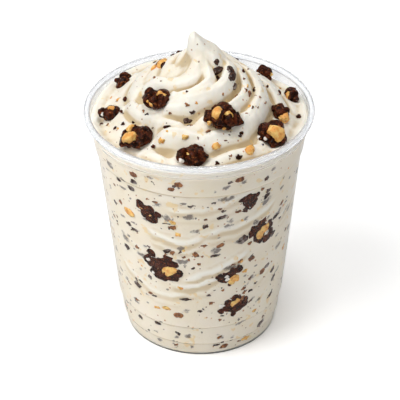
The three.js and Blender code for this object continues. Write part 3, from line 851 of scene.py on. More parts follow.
def cream_rings():
    bearings = np.linspace(0, 360, COLUMNS, endpoint=False)
    cosine, sine = np.cos(np.radians(bearings)), np.sin(np.radians(bearings))
    rings, crests, shades, stains = [], [], [], []

    def keep(x, y, z, crest=0.0, shade=0.0, stain=0.0):
        rings.append(np.stack([x + 0 * z, y + 0 * z, z + 0 * x], axis=-1))
        for store, value in ((crests, crest), (shades, shade), (stains, stain)):
            store.append(np.zeros(len(rings[-1])) + value)

    keep(np.array([0.0]), np.array([0.0]), np.array([FLOOR_TOP - 0.1]))
    for r in (12.0, 22.0, 30.9):
        keep(r * cosine, r * sine, np.full(COLUMNS, FLOOR_TOP - 0.1))
    for r, z in ((31.7, 1.55), (32.25, 0.6), (32.95, 1.0)):
        keep(r * cosine, r * sine, np.full(COLUMNS, z))
    edge_z = fill_height(bearings) - 1.6 + EDGE_CLIMB
    edge_r = wall_inside(edge_z)
    for level in WALL_LEVELS:
        z = np.minimum(level, LAST_STEP) + (edge_z - LAST_STEP) * max(level - LAST_STEP, 0) / 10
        crest, shade = swirl_profile(bearings, z)
        # the steps get a painted shadow line, and the rest of the wall a light share of the same beige, which
        # makes its cream a little darker and warmer
        shade = np.maximum(shade, 0.9 if level in STEP_LEVELS else 0.3)
        r = wall_inside(z)
        spot = np.stack([r * cosine, r * sine, z], axis=-1)
        relief = CREST_OUT * (crest - 0.25 * shade) + 0.05 * layered(spot, 6.0, 2, 3)
        r = r + np.clip(REACH_IN + relief, 0.02, 0.42)
        keep(r * cosine, r * sine, z, crest, shade, sunk_bits(bearings, z))
    wall_part = len(rings)
    for j in range(MOUND_RINGS):
        inwards = 1 - (1 - j / MOUND_RINGS) ** 1.12
        x = edge_r * cosine * (1 - inwards) + TIP[0] * inwards
        y = edge_r * sine * (1 - inwards) + TIP[1] * inwards
        keep(x, y, cream_height(x, y))
    keep(np.array([TIP[0]]), np.array([TIP[1]]), cream_height(np.array([TIP[0]]), np.array([TIP[1]])))
    return rings, crests, shades, stains, wall_part


def hollowness(x, y):
    """How far a place lies below its surroundings, in millimetres."""
    level = cream_height(x, y)
    around = [cream_height(x + dx, y + dy) for dx, dy in (polar(b, 2.4) for b in range(0, 360, 45))]
    return np.mean(around, axis=0) - level


rings, crests, shades, stains, first_mound_ring = cream_rings()
hollows = [
    np.clip(hollowness(ring[:, 0], ring[:, 1]), -2, 2) if k >= first_mound_ring else np.zeros(len(ring))
    for k, ring in enumerate(rings)
]
print("cream points:", sum(map(len, rings)))

# %% [markdown]
# ## Vanilla cream
# The cream is a warm off-white. Painted highlight makes it whiter where it stands proud and along
# the swirls' crests. Painted shade makes it darker and more yellow in the hollows and below the
# crests. A little light spreads under the surface, which softens every edge. Fine specks of crushed
# cocoa and tiny ice crystals break up the colour.

# %% Make the cream
def vanilla_cream():
    look = Finish("vanilla_cream")
    hollow = look.note("hollow").between(0.0, 1.1)
    proud = (0.0 - look.note("hollow")).between(0.2, 1.0)
    shade = look.note("shade").between(0.0, 1.0)
    crest = look.note("crest").between(0.1, 1.0)
    stain = look.note("stain")
    cloud = look.noise(14.0, 3.0)
    base = look.colours(cloud.between(0.35, 0.65), srgb(246, 237, 218), srgb(250, 243, 229))
    # painted shade: darker, more yellow cream in the hollows between the ropes
    base = look.colours(hollow * 0.9, base, srgb(207, 184, 142))
    # painted highlight: whiter cream where a place stands proud of its surroundings
    base = look.colours(proud * 0.7, base, srgb(254, 250, 239))
    # painted shade below each swirl's crest, painted shadow lines at the steps, and a light beige share over
    # the whole wall
    base = look.colours(shade * 0.85, base, srgb(212, 191, 154))
    # painted highlight along each swirl's crest at the wall
    base = look.colours(crest * 0.95, base, srgb(253, 249, 239))
    torn = look.noise(1.6, 3.0, 0.6)
    soft_stain = (stain + 2.0 * (torn - 0.5)).between(0.28, 0.98)
    honey = (look.noise(4.0, 1.0) + 0.3 * (torn - 0.5)).between(0.66, 0.72)
    base = look.colours(honey * 0.55, base, srgb(238, 206, 140))
    grey = look.colours(soft_stain.between(0.2, 0.95), srgb(158, 150, 150), srgb(80, 70, 74))
    base = look.colours(soft_stain * 0.8, base, grey)
    cells = look.node("ShaderNodeTexVoronoi", inputs={
        "Vector": look.place, "Scale": 1 / (2.6 * MM), "Randomness": 1.0,
    })
    chance = look.node("ShaderNodeSeparateColor", inputs={"Color": cells.also("Color")})
    ragged = cells + 0.16 * (torn - 0.5)
    speck = (0.20 * chance - ragged).between(0.0, 0.03)
    tone = look.colours(look.noise(3.1, 1.0).between(0.45, 0.55), srgb(112, 72, 50), srgb(186, 128, 76))
    base = look.colours(speck * 0.75, base, tone)
    grain = look.noise(0.55, 2.0)
    return look.show(look.node("ShaderNodeBsdfPrincipled", inputs={
        "Base Color": base,
        "Roughness": 0.36 + 0.2 * look.noise(2.2, 2.0),
        "Subsurface Weight": 0.15,
        "Subsurface Radius": (1.0, 0.75, 0.5),
        "Subsurface Scale": 1.2 * MM,
        "Specular IOR Level": 0.4,
        "Normal": look.bump(grain + 2.0 * look.noise(2.4, 2.0), 0.07),
    }))


add_piece(
    "cream", np.concatenate(rings), skin(rings), [vanilla_cream()], ["ice_cream"],
    notes={
        "hollow": np.concatenate(hollows),
        "crest": np.concatenate(crests),
        "shade": np.concatenate(shades),
        "stain": np.concatenate(stains),
    },
)

# %% [markdown]
# ## Chocolate and peanuts
# The chocolate is dark and knobbly, glossy where it is wet and dusted with paler crumb where it
# broke. The nuts are chopped: golden flesh with paler and browner sides. Both are patterns of
# noise on the object itself, so every chunk differs without a picture.

# %% Make the finishes of chunks and bits
def chocolate():
    look = Finish("chocolate")
    knob = look.noise(1.9, 3.0, 0.6)
    crumb = look.noise(1.0, 2.0, 0.6)
    # the same knob noise lifts the surface and makes it lighter brown: partly the chocolate's own tone,
    # partly painted shade darkening the dips between knobs
    base = look.colours(knob.between(0.40, 0.62), srgb(30, 7, 1), srgb(80, 32, 11))
    base = look.colours(crumb.between(0.58, 0.69) * 0.75, base, srgb(152, 88, 44))
    wet = look.noise(2.6, 1.0).between(0.42, 0.58)
    return look.show(look.node("ShaderNodeBsdfPrincipled", inputs={
        "Base Color": base,
        "Roughness": 0.62 - 0.36 * wet,
        "Specular IOR Level": 0.10,
        "Coat Weight": 0.16 * wet,
        "Coat Roughness": 0.15,
        "Coat IOR": 1.3,
        "Normal": look.bump(crumb + knob, 0.25),
    }))


def nut_flesh():
    look = Finish("peanut")
    patch = look.noise(2.4, 2.0)
    base = look.colours(patch.between(0.38, 0.62), srgb(236, 165, 78), srgb(252, 207, 124))
    base = look.colours(look.noise(1.1, 2.0).between(0.58, 0.72) * 0.7, base, srgb(176, 108, 46))
    return look.show(look.node("ShaderNodeBsdfPrincipled", inputs={
        "Base Color": base,
        "Roughness": 0.40 + 0.2 * patch,
        "Subsurface Weight": 0.15,
        "Subsurface Radius": (1.0, 0.6, 0.3),
        "Subsurface Scale": 0.8 * MM,
        "Normal": look.bump(look.noise(0.7, 2.0) + 2.0 * patch, 0.2),
    }))


def brown_crumb():
    look = Finish("brown_crumb")
    patch = look.noise(1.4, 2.0)
    base = look.colours(patch.between(0.4, 0.6), srgb(108, 62, 32), srgb(166, 108, 60))
    return look.show(look.node("ShaderNodeBsdfPrincipled", inputs={
        "Base Color": base,
        "Roughness": 0.5 + 0.2 * patch,
        "Normal": look.bump(look.noise(0.6, 2.0), 0.15),
    }))


def veiled_chocolate(name, share, white, patches):
    """Chocolate behind a film of cream, thick over some bits and thin over others."""
    look = Finish(name)
    film = look.noise(5.0, 1.0).between(0.40, 0.66) * look.noise(1.3, 2.0).between(*patches)
    base = look.colours(look.noise(1.0, 2.0).between(0.4, 0.65), srgb(46, 28, 24), srgb(92, 62, 48))
    base = look.colours(film * share, base, white)
    return look.show(look.node("ShaderNodeBsdfPrincipled", inputs={
        "Base Color": base,
        "Roughness": 0.5 + 0.2 * film,
        "Specular IOR Level": 0.2,
        "Normal": look.bump(look.noise(0.7, 2.0), 0.2),
    }))


def cream_drop():
    """The small drops and smears of cream that cling to chunks."""
    look = Finish("cream_drop")
    base = look.colours(look.noise(1.5, 2.0).between(0.4, 0.6), srgb(236, 228, 218), srgb(250, 246, 238))
    return look.show(look.node("ShaderNodeBsdfPrincipled", inputs={
        "Base Color": base,
        "Roughness": 0.3 + 0.1 * look.noise(2.0, 1.0),
        "Normal": look.bump(look.noise(1.2, 2.0), 0.1),
    }))


CHOCOLATE, NUT, CRUMB = chocolate(), nut_flesh(), brown_crumb()
VEILED = veiled_chocolate("veiled_chocolate", 0.75, srgb(168, 158, 152), (0.35, 0.60))
FILMED = veiled_chocolate("filmed_chocolate", 0.90, srgb(222, 214, 206), (0.46, 0.62))
DROP = cream_drop()

# %% [markdown]
# ## A broken lump
# A chunk starts as a ball, is cut back by seeded flat breaks as its solid is, and then gets knobs
# and grains that the solid is too coarse to hold. A ball of even triangles has no poles to hide.

# %% The lump and its nuts
def ball(level):
    """Directions and faces of an even ball of triangles."""
    shape = bmesh.new()
    bmesh.ops.create_icosphere(shape, subdivisions=level, radius=1.0)
    corners = np.array([v.co[:] for v in shape.verts])
    faces = [tuple(v.index for v in face.verts) for face in shape.faces]
    shape.free()
    return corners / np.linalg.norm(corners, axis=1, keepdims=True), faces


BALLS = {level: ball(level) for level in (3, 4, 5)}


def lobes(direction, seed, count=7):
    """Reach of a cluster of balls that stick together, for each direction."""
    draw = draws(seed + 900)
    reach = np.full(len(direction), 0.62)
    for _ in range(count):
        up = 2 * next(draw) - 1
        turn = 2 * math.pi * next(draw)
        flat = math.sqrt(1 - up * up)
        away = 0.42 + 0.18 * next(draw)
        size = 0.44 + 0.16 * next(draw)
        along = direction @ np.array([flat * math.cos(turn), flat * math.sin(turn), up]) * away
        inside = along**2 - away**2 + size**2
        reach = np.maximum(reach, np.where(inside > 0, along + np.sqrt(np.maximum(inside, 0)), 0))
    return reach


def lump(half, seed, level, knob=0.5, grain=0.16, clustered=0.75):
    """Points of a knobbly lump round the origin, with half sizes in millimetres."""
    direction, _ = BALLS[level]
    draw = draws(seed)
    reach = np.full(len(direction), 1.06)
    for _ in range(10):
        up = 2 * next(draw) - 1
        turn = 2 * math.pi * next(draw)
        away = 0.74 + 0.2 * next(draw)
        flat = math.sqrt(1 - up * up)
        facing = direction @ np.array([flat * math.cos(turn), flat * math.sin(turn), up])
        cut = np.where(facing > 0.3, away / np.maximum(facing, 0.3), 9.0)
        reach = np.minimum(reach, cut)
    cluster = np.minimum(reach * 1.04, 1.04 * lobes(direction, seed))
    reach = reach * (1 - clustered) + cluster * clustered
    points = direction * np.array(half) * reach[:, None]
    crumbs = 1 - 2 * np.abs(layered(points, 1.5, 2, seed + 9))
    rise = knob * layered(points, 2.8, 2, seed) + grain * crumbs
    return points + direction * rise[:, None]


def shard(size, seed, level, rough=1.0):
    """Points of a small angular piece: a ball that is cut by many flat breaks."""
    direction, _ = BALLS[level]
    draw = draws(seed)
    half = size * np.array([1.0, 0.85 + 0.3 * next(draw), 0.85 + 0.25 * next(draw)])
    reach = np.full(len(direction), 1.12)
    for _ in range(9):
        up = 2 * next(draw) - 1
        turn = 2 * math.pi * next(draw)
        away = 0.60 + 0.34 * next(draw)
        flat = math.sqrt(1 - up * up)
        facing = direction @ np.array([flat * math.cos(turn), flat * math.sin(turn), up])
        reach = np.minimum(reach, np.where(facing > 0.3, away / np.maximum(facing, 0.3), 9.0))
    points = 1.06 * direction * half * reach[:, None]
    crumbs = 1 - 2 * np.abs(layered(points, 0.9, 2, seed + 9))
    rise = rough * (0.11 * size * layered(points, 1.1 * size, 2, seed) + 0.06 * crumbs)
    return points + direction * rise[:, None]


KINDS = {"d": 0, "n": 1, "c": 2}


class Heap:
    """Collects lumps into one mesh, each with its kind of material."""

    def __init__(self):
        self.corners, self.faces, self.kinds, self.count = [], [], [], 0

    def add(self, points, faces, kind):
        self.corners.append(points)
        self.faces += [tuple(i + self.count for i in face) for face in faces]
        self.kinds += [kind] * len(faces)
        self.count += len(points)


# %% [markdown]
# ## Chunks made of shards
# A real chunk is a cluster: shards of chocolate and nut stuck together, with dark cracks between
# them and a drop of cream here and there. Those that the picture shows have their shards where it
# shows them, as (right, up, half size, kind) from the front and above. Others are drawn by chance.

# %% Shards of the chunks on the mound
TOP_SHARDS = {
    1: [(-1.5, -1.1, 2.7, "d"), (0.9, -0.3, 2.1, "d"), (-2.6, 0.4, 1.6, "d"), (1.2, -3.3, 1.6, "n"),
        (-3.0, -3.6, 0.8, "n"), (1.8, 0.8, 0.7, "n"), (-0.6, -2.7, 1.6, "d")],
    2: [(-4.3, 1.3, 1.8, "d"), (-1.7, 0.0, 1.9, "d"), (1.0, 0.3, 2.6, "d"), (2.8, 1.6, 1.6, "d"),
        (1.5, 3.2, 1.3, "n"), (-0.1, 2.9, 0.7, "n"), (-3.0, 0.4, 0.8, "c")],
    3: [(-2.8, 3.4, 2.3, "d"), (-4.3, 1.1, 2.2, "d"), (-0.8, 1.1, 2.2, "d"), (3.3, -0.5, 2.9, "d"),
        (-0.3, -2.0, 2.0, "d"), (5.0, 1.0, 1.6, "d"), (1.8, 2.9, 1.2, "n"), (3.6, 2.4, 0.9, "n"),
        (-1.5, -1.1, 0.9, "n"), (-3.1, 0.0, 0.6, "n")],
    4: [(-3.4, 0.2, 2.7, "n"), (-1.1, 3.6, 1.9, "d"), (2.0, 4.0, 1.9, "d"), (5.2, 3.4, 2.4, "d"),
        (4.6, 0.5, 2.5, "d"), (1.4, 0.8, 2.2, "d"), (-4.6, -2.7, 1.5, "d"), (-0.3, -3.6, 1.5, "d"),
        (-2.1, -2.8, 1.5, "d"), (1.2, -1.8, 1.8, "d"), (-3.7, 3.6, 0.8, "n"), (1.5, -0.4, 0.8, "c"),
        (2.3, 2.6, 0.6, "n")],
    5: [(-4.6, 1.2, 2.4, "d"), (-1.2, 3.0, 2.1, "d"), (0.7, 0.7, 2.2, "d"), (-0.6, -1.8, 2.1, "d"),
        (2.9, 2.2, 2.1, "d"), (4.9, 0.7, 1.8, "d"), (6.5, 0.2, 1.1, "d"), (-0.6, 1.4, 1.0, "n"),
        (-4.2, -1.6, 1.0, "c"), (1.9, -1.6, 1.7, "d")],
    6: [(-1.6, -0.6, 3.4, "d"), (1.8, -0.8, 2.9, "d"), (-4.7, -0.8, 2.5, "d"), (6.0, 1.5, 2.3, "d"),
        (5.2, -0.8, 1.8, "d"), (1.3, -3.9, 1.5, "d"), (-2.9, -3.2, 1.9, "d"), (3.3, 3.0, 1.8, "d"),
        (-2.6, 2.3, 2.2, "n"), (2.0, 1.6, 1.3, "n"), (1.4, -2.1, 1.1, "c"), (-6.6, -1.6, 0.8, "n"),
        (-0.3, -3.9, 0.7, "n")],
    7: [(-2.0, 2.6, 1.8, "d"), (1.8, 1.9, 2.2, "d"), (0.0, 0.7, 1.8, "d"), (2.6, 0.2, 1.2, "n"),
        (2.3, -1.8, 1.2, "d"), (3.0, 1.5, 1.1, "d")],
    8: [(0.4, 1.3, 2.1, "d"), (1.8, -1.2, 1.7, "d"), (1.9, -2.7, 1.2, "d"), (-1.4, 0.8, 1.3, "n"),
        (-1.6, 3.4, 0.8, "n"), (-0.6, -0.3, 1.2, "d")],
    9: [(-1.2, 1.5, 2.3, "d"), (1.8, 1.3, 2.0, "d"), (0.1, -0.4, 1.9, "d"), (2.5, -2.3, 2.2, "n"),
        (0.9, -1.8, 1.1, "n"), (3.6, -3.6, 0.9, "n")],
    10: [(1.0, 1.5, 2.9, "n"), (2.1, -0.6, 1.4, "n"), (-0.3, 4.2, 1.8, "d"), (3.4, -2.2, 2.4, "d"),
         (-0.5, -3.2, 2.3, "d"), (-2.6, -0.9, 1.9, "d"), (3.8, 0.9, 1.9, "d"), (-4.4, 1.0, 1.6, "d"),
         (-5.6, -2.0, 1.8, "d"), (-3.3, -1.2, 0.8, "c"), (-6.3, -0.8, 0.9, "c"), (4.7, -2.7, 0.6, "c")],
}
VIEW = math.radians(34.0)
SCREEN_UP = np.array([0, math.sin(VIEW), math.cos(VIEW)])
TO_VIEWER = np.array([0, -math.cos(VIEW), math.sin(VIEW)])


def turn_z(points, degrees):
    c, s = math.cos(math.radians(degrees)), math.sin(math.radians(degrees))
    x, y, z = points.T
    return np.stack([c * x - s * y, s * x + c * y, z], axis=1)


def on_front(half, turn, right, up):
    """The spot of a chunk's surface that shows at (right, up) from its middle."""
    flat = np.array([right, 0, 0]) + up * SCREEN_UP
    base, towards = turn_z(np.stack([flat, TO_VIEWER]), -turn) / half
    b, n = base @ towards, towards @ towards
    missed = base @ base - b * b / n
    if missed > 0.88:
        base = base * math.sqrt(0.88 / missed)
        b = base @ towards
    t = (-b + math.sqrt(b * b - n * (base @ base - 1))) / n
    return turn_z(((base + t * towards) * half)[None], turn)[0]


def by_chance(half, turn, seed, count, hidden_only):
    """Shards at seeded places over the upper side of a chunk, or on the side away from view."""
    draw = draws(seed)
    made = []
    while len(made) < count:
        bearing, rise = 2 * math.pi * next(draw), math.radians(-10 + 85 * next(draw))
        level = math.cos(rise)
        out = np.array([level * math.cos(bearing), level * math.sin(bearing), math.sin(rise)])
        size = (0.24 + 0.2 * next(draw)) * min(half) * 1.5
        kind = "n" if next(draw) > (0.95 if hidden_only else 0.8) else "d"
        if hidden_only and out @ TO_VIEWER > 0.25:
            continue
        local = out / np.linalg.norm(out / half)
        made.append((turn_z(local[None], turn)[0], size, kind))
    return made


# %% Chunks on the mound
# Two chunks lie a few millimetres from their solids, where the picture shows them.
NUDGED = {1: (-0.6, -3.0, -0.8), 7: (1.4, -0.4, 1.6)}
for i, (bearing, reach, half, turn) in enumerate(TOP_CHUNKS):
    half = np.array(half)
    heap = Heap()
    heap.add(turn_z(lump(0.9 * half, 11 + i, 4, 0.4, 0.28), turn), BALLS[4][1], 0)
    seen = TOP_SHARDS.get(i + 1, [])
    shards = [(on_front(half, turn, right, up), size, kind) for right, up, size, kind in seen]
    shards += by_chance(half, turn, 500 + i, 7 if seen else 12, bool(seen))
    for k, (spot, size, kind) in enumerate(shards):
        level = 4 if size > 1.7 else 3
        size = size * (1.2 if kind == "n" else 1.0)
        sunk = {"d": 0.62, "n": 0.42, "c": 0.2}[kind] * size
        middle = spot * (1 - sunk / np.linalg.norm(spot))
        heap.add(shard(size, 61 + 20 * i + k, level, 0.7 if kind == "n" else 1.0) + middle,
                 BALLS[level][1], KINDS[kind])
    x, y = polar(bearing, reach)
    middle = np.array([x, y, float(plain_mound(np.array(x), np.array(y))) + 0.9])
    corners = np.concatenate(heap.corners) + middle + NUDGED.get(i + 1, (0, 0, 0))
    add_piece(
        f"chunk_top_{i + 1}", corners, heap.faces, [CHOCOLATE, NUT, DROP],
        [f"top_chunk_{i + 1}"], heap.kinds,
    )

# %% [markdown]
# Chunks at the wall are the same clusters, but the plastic presses them flat. Their shards reach
# a little further into the wall than the cream does, so they show, each pressed nearly flat. The
# lump behind them is sunk in the cream. Here (along, up) are distances on the wall itself.

# %% Shards of the chunks at the wall
WALL_SHARDS = {
    1: [(-3.4, 1.2, 2.2, "d"), (-4.2, 2.4, 1.3, "d"), (-0.8, -1.2, 2.5, "d"), (2.2, -2.8, 2.4, "d"),
        (1.1, 0.6, 1.6, "d"), (4.9, -0.6, 1.1, "d"), (-2.2, 0.1, 0.6, "n"), (-3.6, 0.3, 0.5, "n"),
        (1.4, -2.2, 0.5, "n")],
    2: [(-5.1, 5.6, 1.7, "d"), (-6.4, 1.5, 2.1, "d"), (-3.6, 0.6, 2.7, "d"), (-0.1, 1.2, 2.6, "d"),
        (2.9, 5.2, 2.0, "d"), (4.5, 2.3, 2.2, "d"), (-3.1, -3.3, 2.4, "d"), (-1.0, -5.7, 2.2, "d"),
        (3.2, -4.7, 2.5, "d"), (6.2, -2.2, 2.0, "d"), (3.4, -1.3, 2.9, "n"), (-2.4, -1.8, 0.6, "n"),
        (-6.7, 1.8, 0.7, "c"), (-0.9, 2.1, 0.5, "c"), (-4.8, -4.8, 0.5, "c")],
    3: [(-2.3, 2.5, 2.5, "d"), (0.4, 2.0, 2.5, "d"), (3.4, 3.1, 1.2, "d"), (2.5, 1.8, 1.5, "d"),
        (0.9, -1.2, 2.0, "d"), (-3.0, 4.1, 0.6, "n"), (0.1, -2.7, 0.6, "c")],
    4: [(-0.4, -1.4, 1.9, "n"), (2.1, 0.8, 2.1, "n"), (1.0, 5.5, 2.0, "d"), (-3.3, 3.3, 1.8, "d"),
        (-4.7, 0.5, 2.0, "d"), (-1.2, -4.1, 1.9, "d"), (3.0, -5.3, 1.7, "d"), (5.3, -3.4, 1.6, "d"),
        (4.7, 0.5, 1.3, "d"), (-1.0, 4.6, 1.5, "d"), (-2.6, -2.0, 1.7, "d"), (4.2, 3.0, 1.4, "d")],
    5: [(1.8, 1.5, 1.8, "d"), (3.6, 2.6, 1.8, "d"), (4.4, 3.1, 1.2, "d"), (0.7, 0.8, 1.2, "d"),
        (-3.4, -0.3, 1.6, "d"), (-2.2, -2.3, 1.5, "d"), (-4.3, -0.7, 1.2, "d"), (-1.0, -0.6, 0.9, "c"),
        (-0.5, -2.1, 0.9, "c"), (2.3, -2.7, 1.7, "n"), (1.3, -3.8, 1.2, "n"), (0.4, -5.3, 0.7, "d"),
        (3.2, -2.0, 1.0, "n")],
    6: [(3.1, 3.4, 1.3, "d"), (1.4, 3.2, 1.6, "d"), (5.4, -0.8, 1.9, "d"), (5.8, 1.0, 1.3, "d"),
        (-1.5, 1.6, 1.6, "d"), (-1.4, -1.4, 1.9, "d"), (1.0, -2.7, 1.8, "d"), (3.4, -2.3, 1.7, "d"),
        (-3.0, -0.7, 1.3, "d"), (-4.9, -2.8, 1.2, "d"), (0.7, 0.6, 1.6, "n"), (2.5, 1.8, 1.1, "n"),
        (-5.0, 0.1, 0.9, "c"), (-4.0, 0.3, 0.6, "c"), (0.8, -5.8, 0.9, "d")],
}


def against_wall(points, limit, give=0.1):
    """Presses points at the wall: what would pass limit is squeezed to a tenth."""
    r = np.hypot(points[:, 0], points[:, 1])
    most = wall_inside(points[:, 2]) + limit
    pressed = np.minimum(np.where(r > most, most + give * (r - most), r), most + 0.12)
    scale = pressed / r
    return np.stack([points[:, 0] * scale, points[:, 1] * scale, points[:, 2]], axis=1)


def at_wall(points, bearing, height, sunk, tilt=0):
    """Stands points up at the wall: x along it, y up and z outwards."""
    x, y, z = turn_z(points, tilt).T
    reach = float(wall_inside(height)) - sunk
    b = math.radians(bearing)
    out = np.array([math.cos(b), math.sin(b), 0.0])
    along = np.array([-math.sin(b), math.cos(b), 0.0])
    return (reach + z)[:, None] * out + x[:, None] * along + np.stack([0 * y, 0 * y, y + height], axis=1)


def wall_by_chance(half, tilt, nut, seed):
    """A ring of dark shards round the middle of a wall chunk, and its nut on them."""
    draw = draws(seed)
    made = []
    for k in range(8):
        turn = 2 * math.pi * (k + 0.7 * next(draw)) / 8
        out = 0.3 + 0.45 * next(draw) if k % 2 else 0.55 + 0.25 * next(draw)
        size = (0.28 + 0.14 * next(draw)) * min(half[:2])
        flat = np.array([[out * half[0] * math.cos(turn), out * half[1] * math.sin(turn), 0]])
        spot = turn_z(flat, tilt)[0]
        made.append((spot[0], spot[1], size, "d"))
    spot = turn_z(np.array([[nut[0] * half[0], nut[1] * half[1], 0]]), tilt)[0]
    made.append((spot[0], spot[1], nut[2], "n"))
    return made


# %% Chunks at the wall
BODY_SHARE = np.array([0.58, 0.58, 0.8])
SHARD_SHARE = 1.25
for i, (bearing, height, half, tilt, nut) in enumerate(WALL_CHUNKS):
    heap = Heap()
    body = lump(BODY_SHARE * np.array(half), 41 + i, 4, 0.6, 0.3)
    body = at_wall(body, bearing, height, 0.2 * half[2], tilt)
    heap.add(against_wall(body, 0.2), BALLS[4][1], 0)
    shards = WALL_SHARDS.get(i + 1) or wall_by_chance(half, tilt, nut, 700 + i)
    for k, (along, up, size, kind) in enumerate(shards):
        level = 4 if size > 1.2 else 3
        size = size * SHARD_SHARE
        points = shard(size, 91 + 20 * i + k, level, 1.2) * [1, 1, 0.8] + [along, up, 0]
        limit = {"d": 0.28, "n": 0.38, "c": 0.42}[kind] + 0.012 * (k % 5)
        placed = at_wall(points, bearing, height, 0.2 * size)
        heap.add(against_wall(placed, limit), BALLS[level][1], KINDS[kind])
    add_piece(
        f"chunk_wall_{i + 1}", np.concatenate(heap.corners), heap.faces, [CHOCOLATE, NUT, DROP],
        [f"wall_chunk_{i + 1}"], heap.kinds,
    )

# %% [markdown]
# ## Small bits by Geometry Nodes
# Hundreds of bits are the same job each time: put a small ball at a point, size it, turn it to
# lie on the cream and roughen it. Geometry Nodes does that for a whole cloud of points, which
# carry their sizes and directions. The copies are made real, because the export drops instances.

# %% The tree that makes the bits
def bit_tree():
    tree = bpy.data.node_groups.new("bits_on_cream", "GeometryNodeTree")
    face = tree.interface
    face.new_socket("Points", in_out="INPUT", socket_type="NodeSocketGeometry")
    titles = (("Raggedness", "Float"), ("Grain", "Float"), ("Lift", "Float"), ("Material", "Material"))
    for title, kind in titles:
        face.new_socket(title, in_out="INPUT", socket_type=f"NodeSocket{kind}")
    face.new_socket("Bits", in_out="OUTPUT", socket_type="NodeSocketGeometry")
    web = Web(tree)
    group = tree.nodes.new("NodeGroupInput")
    given = {socket.name: Wire(web, socket) for socket in group.outputs if socket.name}

    def named(title, kind):
        return web.node("GeometryNodeInputNamedAttribute", {"data_type": kind}, {"Name": title})

    seed_ball = web.node("GeometryNodeMeshIcoSphere", inputs={"Radius": 1.0, "Subdivisions": 2})
    upright = web.node("FunctionNodeAlignRotationToVector", {"axis": "Z"},
                       {"Vector": named("outwards", "FLOAT_VECTOR")})
    laid = web.node("FunctionNodeAlignRotationToVector", {"axis": "X", "pivot_axis": "Z"},
                    {"Rotation": upright, "Vector": named("lengthwise", "FLOAT_VECTOR")})
    copies = web.node("GeometryNodeInstanceOnPoints", inputs={
        "Points": given["Points"],
        "Instance": seed_ball,
        "Rotation": laid,
        "Scale": named("half_size", "FLOAT_VECTOR"),
    })
    real = web.node("GeometryNodeRealizeInstances", inputs={"Geometry": copies})
    place = web.node("GeometryNodeInputPosition")
    noise = web.node("ShaderNodeTexNoise", inputs={"Vector": place, "Scale": given["Grain"], "Detail": 1.0},
                     output="Color")
    centred = web.node("ShaderNodeVectorMath", {"operation": "SUBTRACT"}, {0: noise, 1: (0.5, 0.5, 0.5)})
    outwards = named("outwards", "FLOAT_VECTOR")
    straight = web.node("ShaderNodeVectorMath", {"operation": "DOT_PRODUCT"}, {0: centred, 1: outwards},
                        output="Value")
    lifted = web.node("ShaderNodeVectorMath", {"operation": "SCALE"},
                      {0: outwards, "Scale": straight * (1 - given["Lift"])})
    sideways = web.node("ShaderNodeVectorMath", {"operation": "SUBTRACT"}, {0: centred, 1: lifted})
    shift = web.node("ShaderNodeVectorMath", {"operation": "SCALE"},
                     {0: sideways, "Scale": given["Raggedness"]})
    ragged = web.node("GeometryNodeSetPosition", inputs={"Geometry": real, "Offset": shift})
    smooth = web.node("GeometryNodeSetShadeSmooth", inputs={"Geometry": ragged})
    done = web.node("GeometryNodeSetMaterial", inputs={"Geometry": smooth, "Material": given["Material"]})
    web.node("NodeGroupOutput", inputs={"Bits": done})
    return tree


BIT_TREE = bit_tree()
print("inputs:", [item.name for item in BIT_TREE.interface.items_tree if item.in_out == "INPUT"])

# %% Points for the bits
TILT_STEP = 0.6


def top_frame(x, y):
    """Place, outward direction and direction along the folds at a spot on the mound."""
    shifts = ((0, 0), (TILT_STEP, 0), (0, TILT_STEP))
    z, zx, zy = (float(cream_height(np.array(x + a), np.array(y + b))) for a, b in shifts)
    out = Vector((-(zx - z) / TILT_STEP, -(zy - z) / TILT_STEP, 1.0)).normalized()
    along = Vector((y - MOUND[1], -(x - MOUND[0]), 0)) + 0.35 * Vector((x, y, 0))
    return Vector((x, y, z)), out, (along - along.dot(out) * out).normalized()


def wall_frame(bearing, height):
    b = math.radians(bearing)
    out = Vector((math.cos(b), math.sin(b), 0))
    level = Vector((-math.sin(b), math.cos(b), 0))
    slope = math.radians(float(flow_angle(bearing)))
    along = level * math.cos(slope) + Vector((0, 0, math.sin(slope)))
    return out * (float(wall_inside(height)) + REACH_IN + 0.08) + Vector((0, 0, height)), out, along


def top_points(kind, seed, count, sizes):
    """Bits of one kind on the mound: those with known places, then seeded ones."""
    draw = draws(seed)
    rows = []
    proud = -0.14 if kind == "filmed" else 0.12
    for bearing, reach, length, width in TOP_BITS[kind]:
        place, out, along = top_frame(*polar(bearing, reach))
        rows.append((place + out * proud * width, out, along, length, width, 0.7 * width))
    for _ in range(count):
        reach = 10 + 34 * math.sqrt(next(draw))
        place, out, along = top_frame(*polar(360 * next(draw), reach))
        length = sizes[0] + (sizes[1] - sizes[0]) * next(draw) ** 2.5
        rows.append((place, out, along, length, (0.5 + 0.4 * next(draw)) * length, 0.6 * length))
    return rows


def wall_points(kind, seed, count, sizes):
    """Bits of one kind at the wall, where they are thin, because the plastic presses them."""
    draw = draws(seed + 300)
    rows = [(*wall_frame(bearing, height), length, width, 0.45)
            for bearing, height, length, width in WALL_BITS[kind]]
    for _ in range(count):
        place, out, along = wall_frame(360 * next(draw), 3 + 95 * next(draw))
        tilt = 0.9 * (next(draw) - 0.5)
        along = (along + tilt * out.cross(along)).normalized()
        length = sizes[0] + (sizes[1] - sizes[0]) * next(draw) ** 3
        rows.append((place, out, along, length, length * (0.35 + 0.45 * next(draw)), 0.4))
    return rows


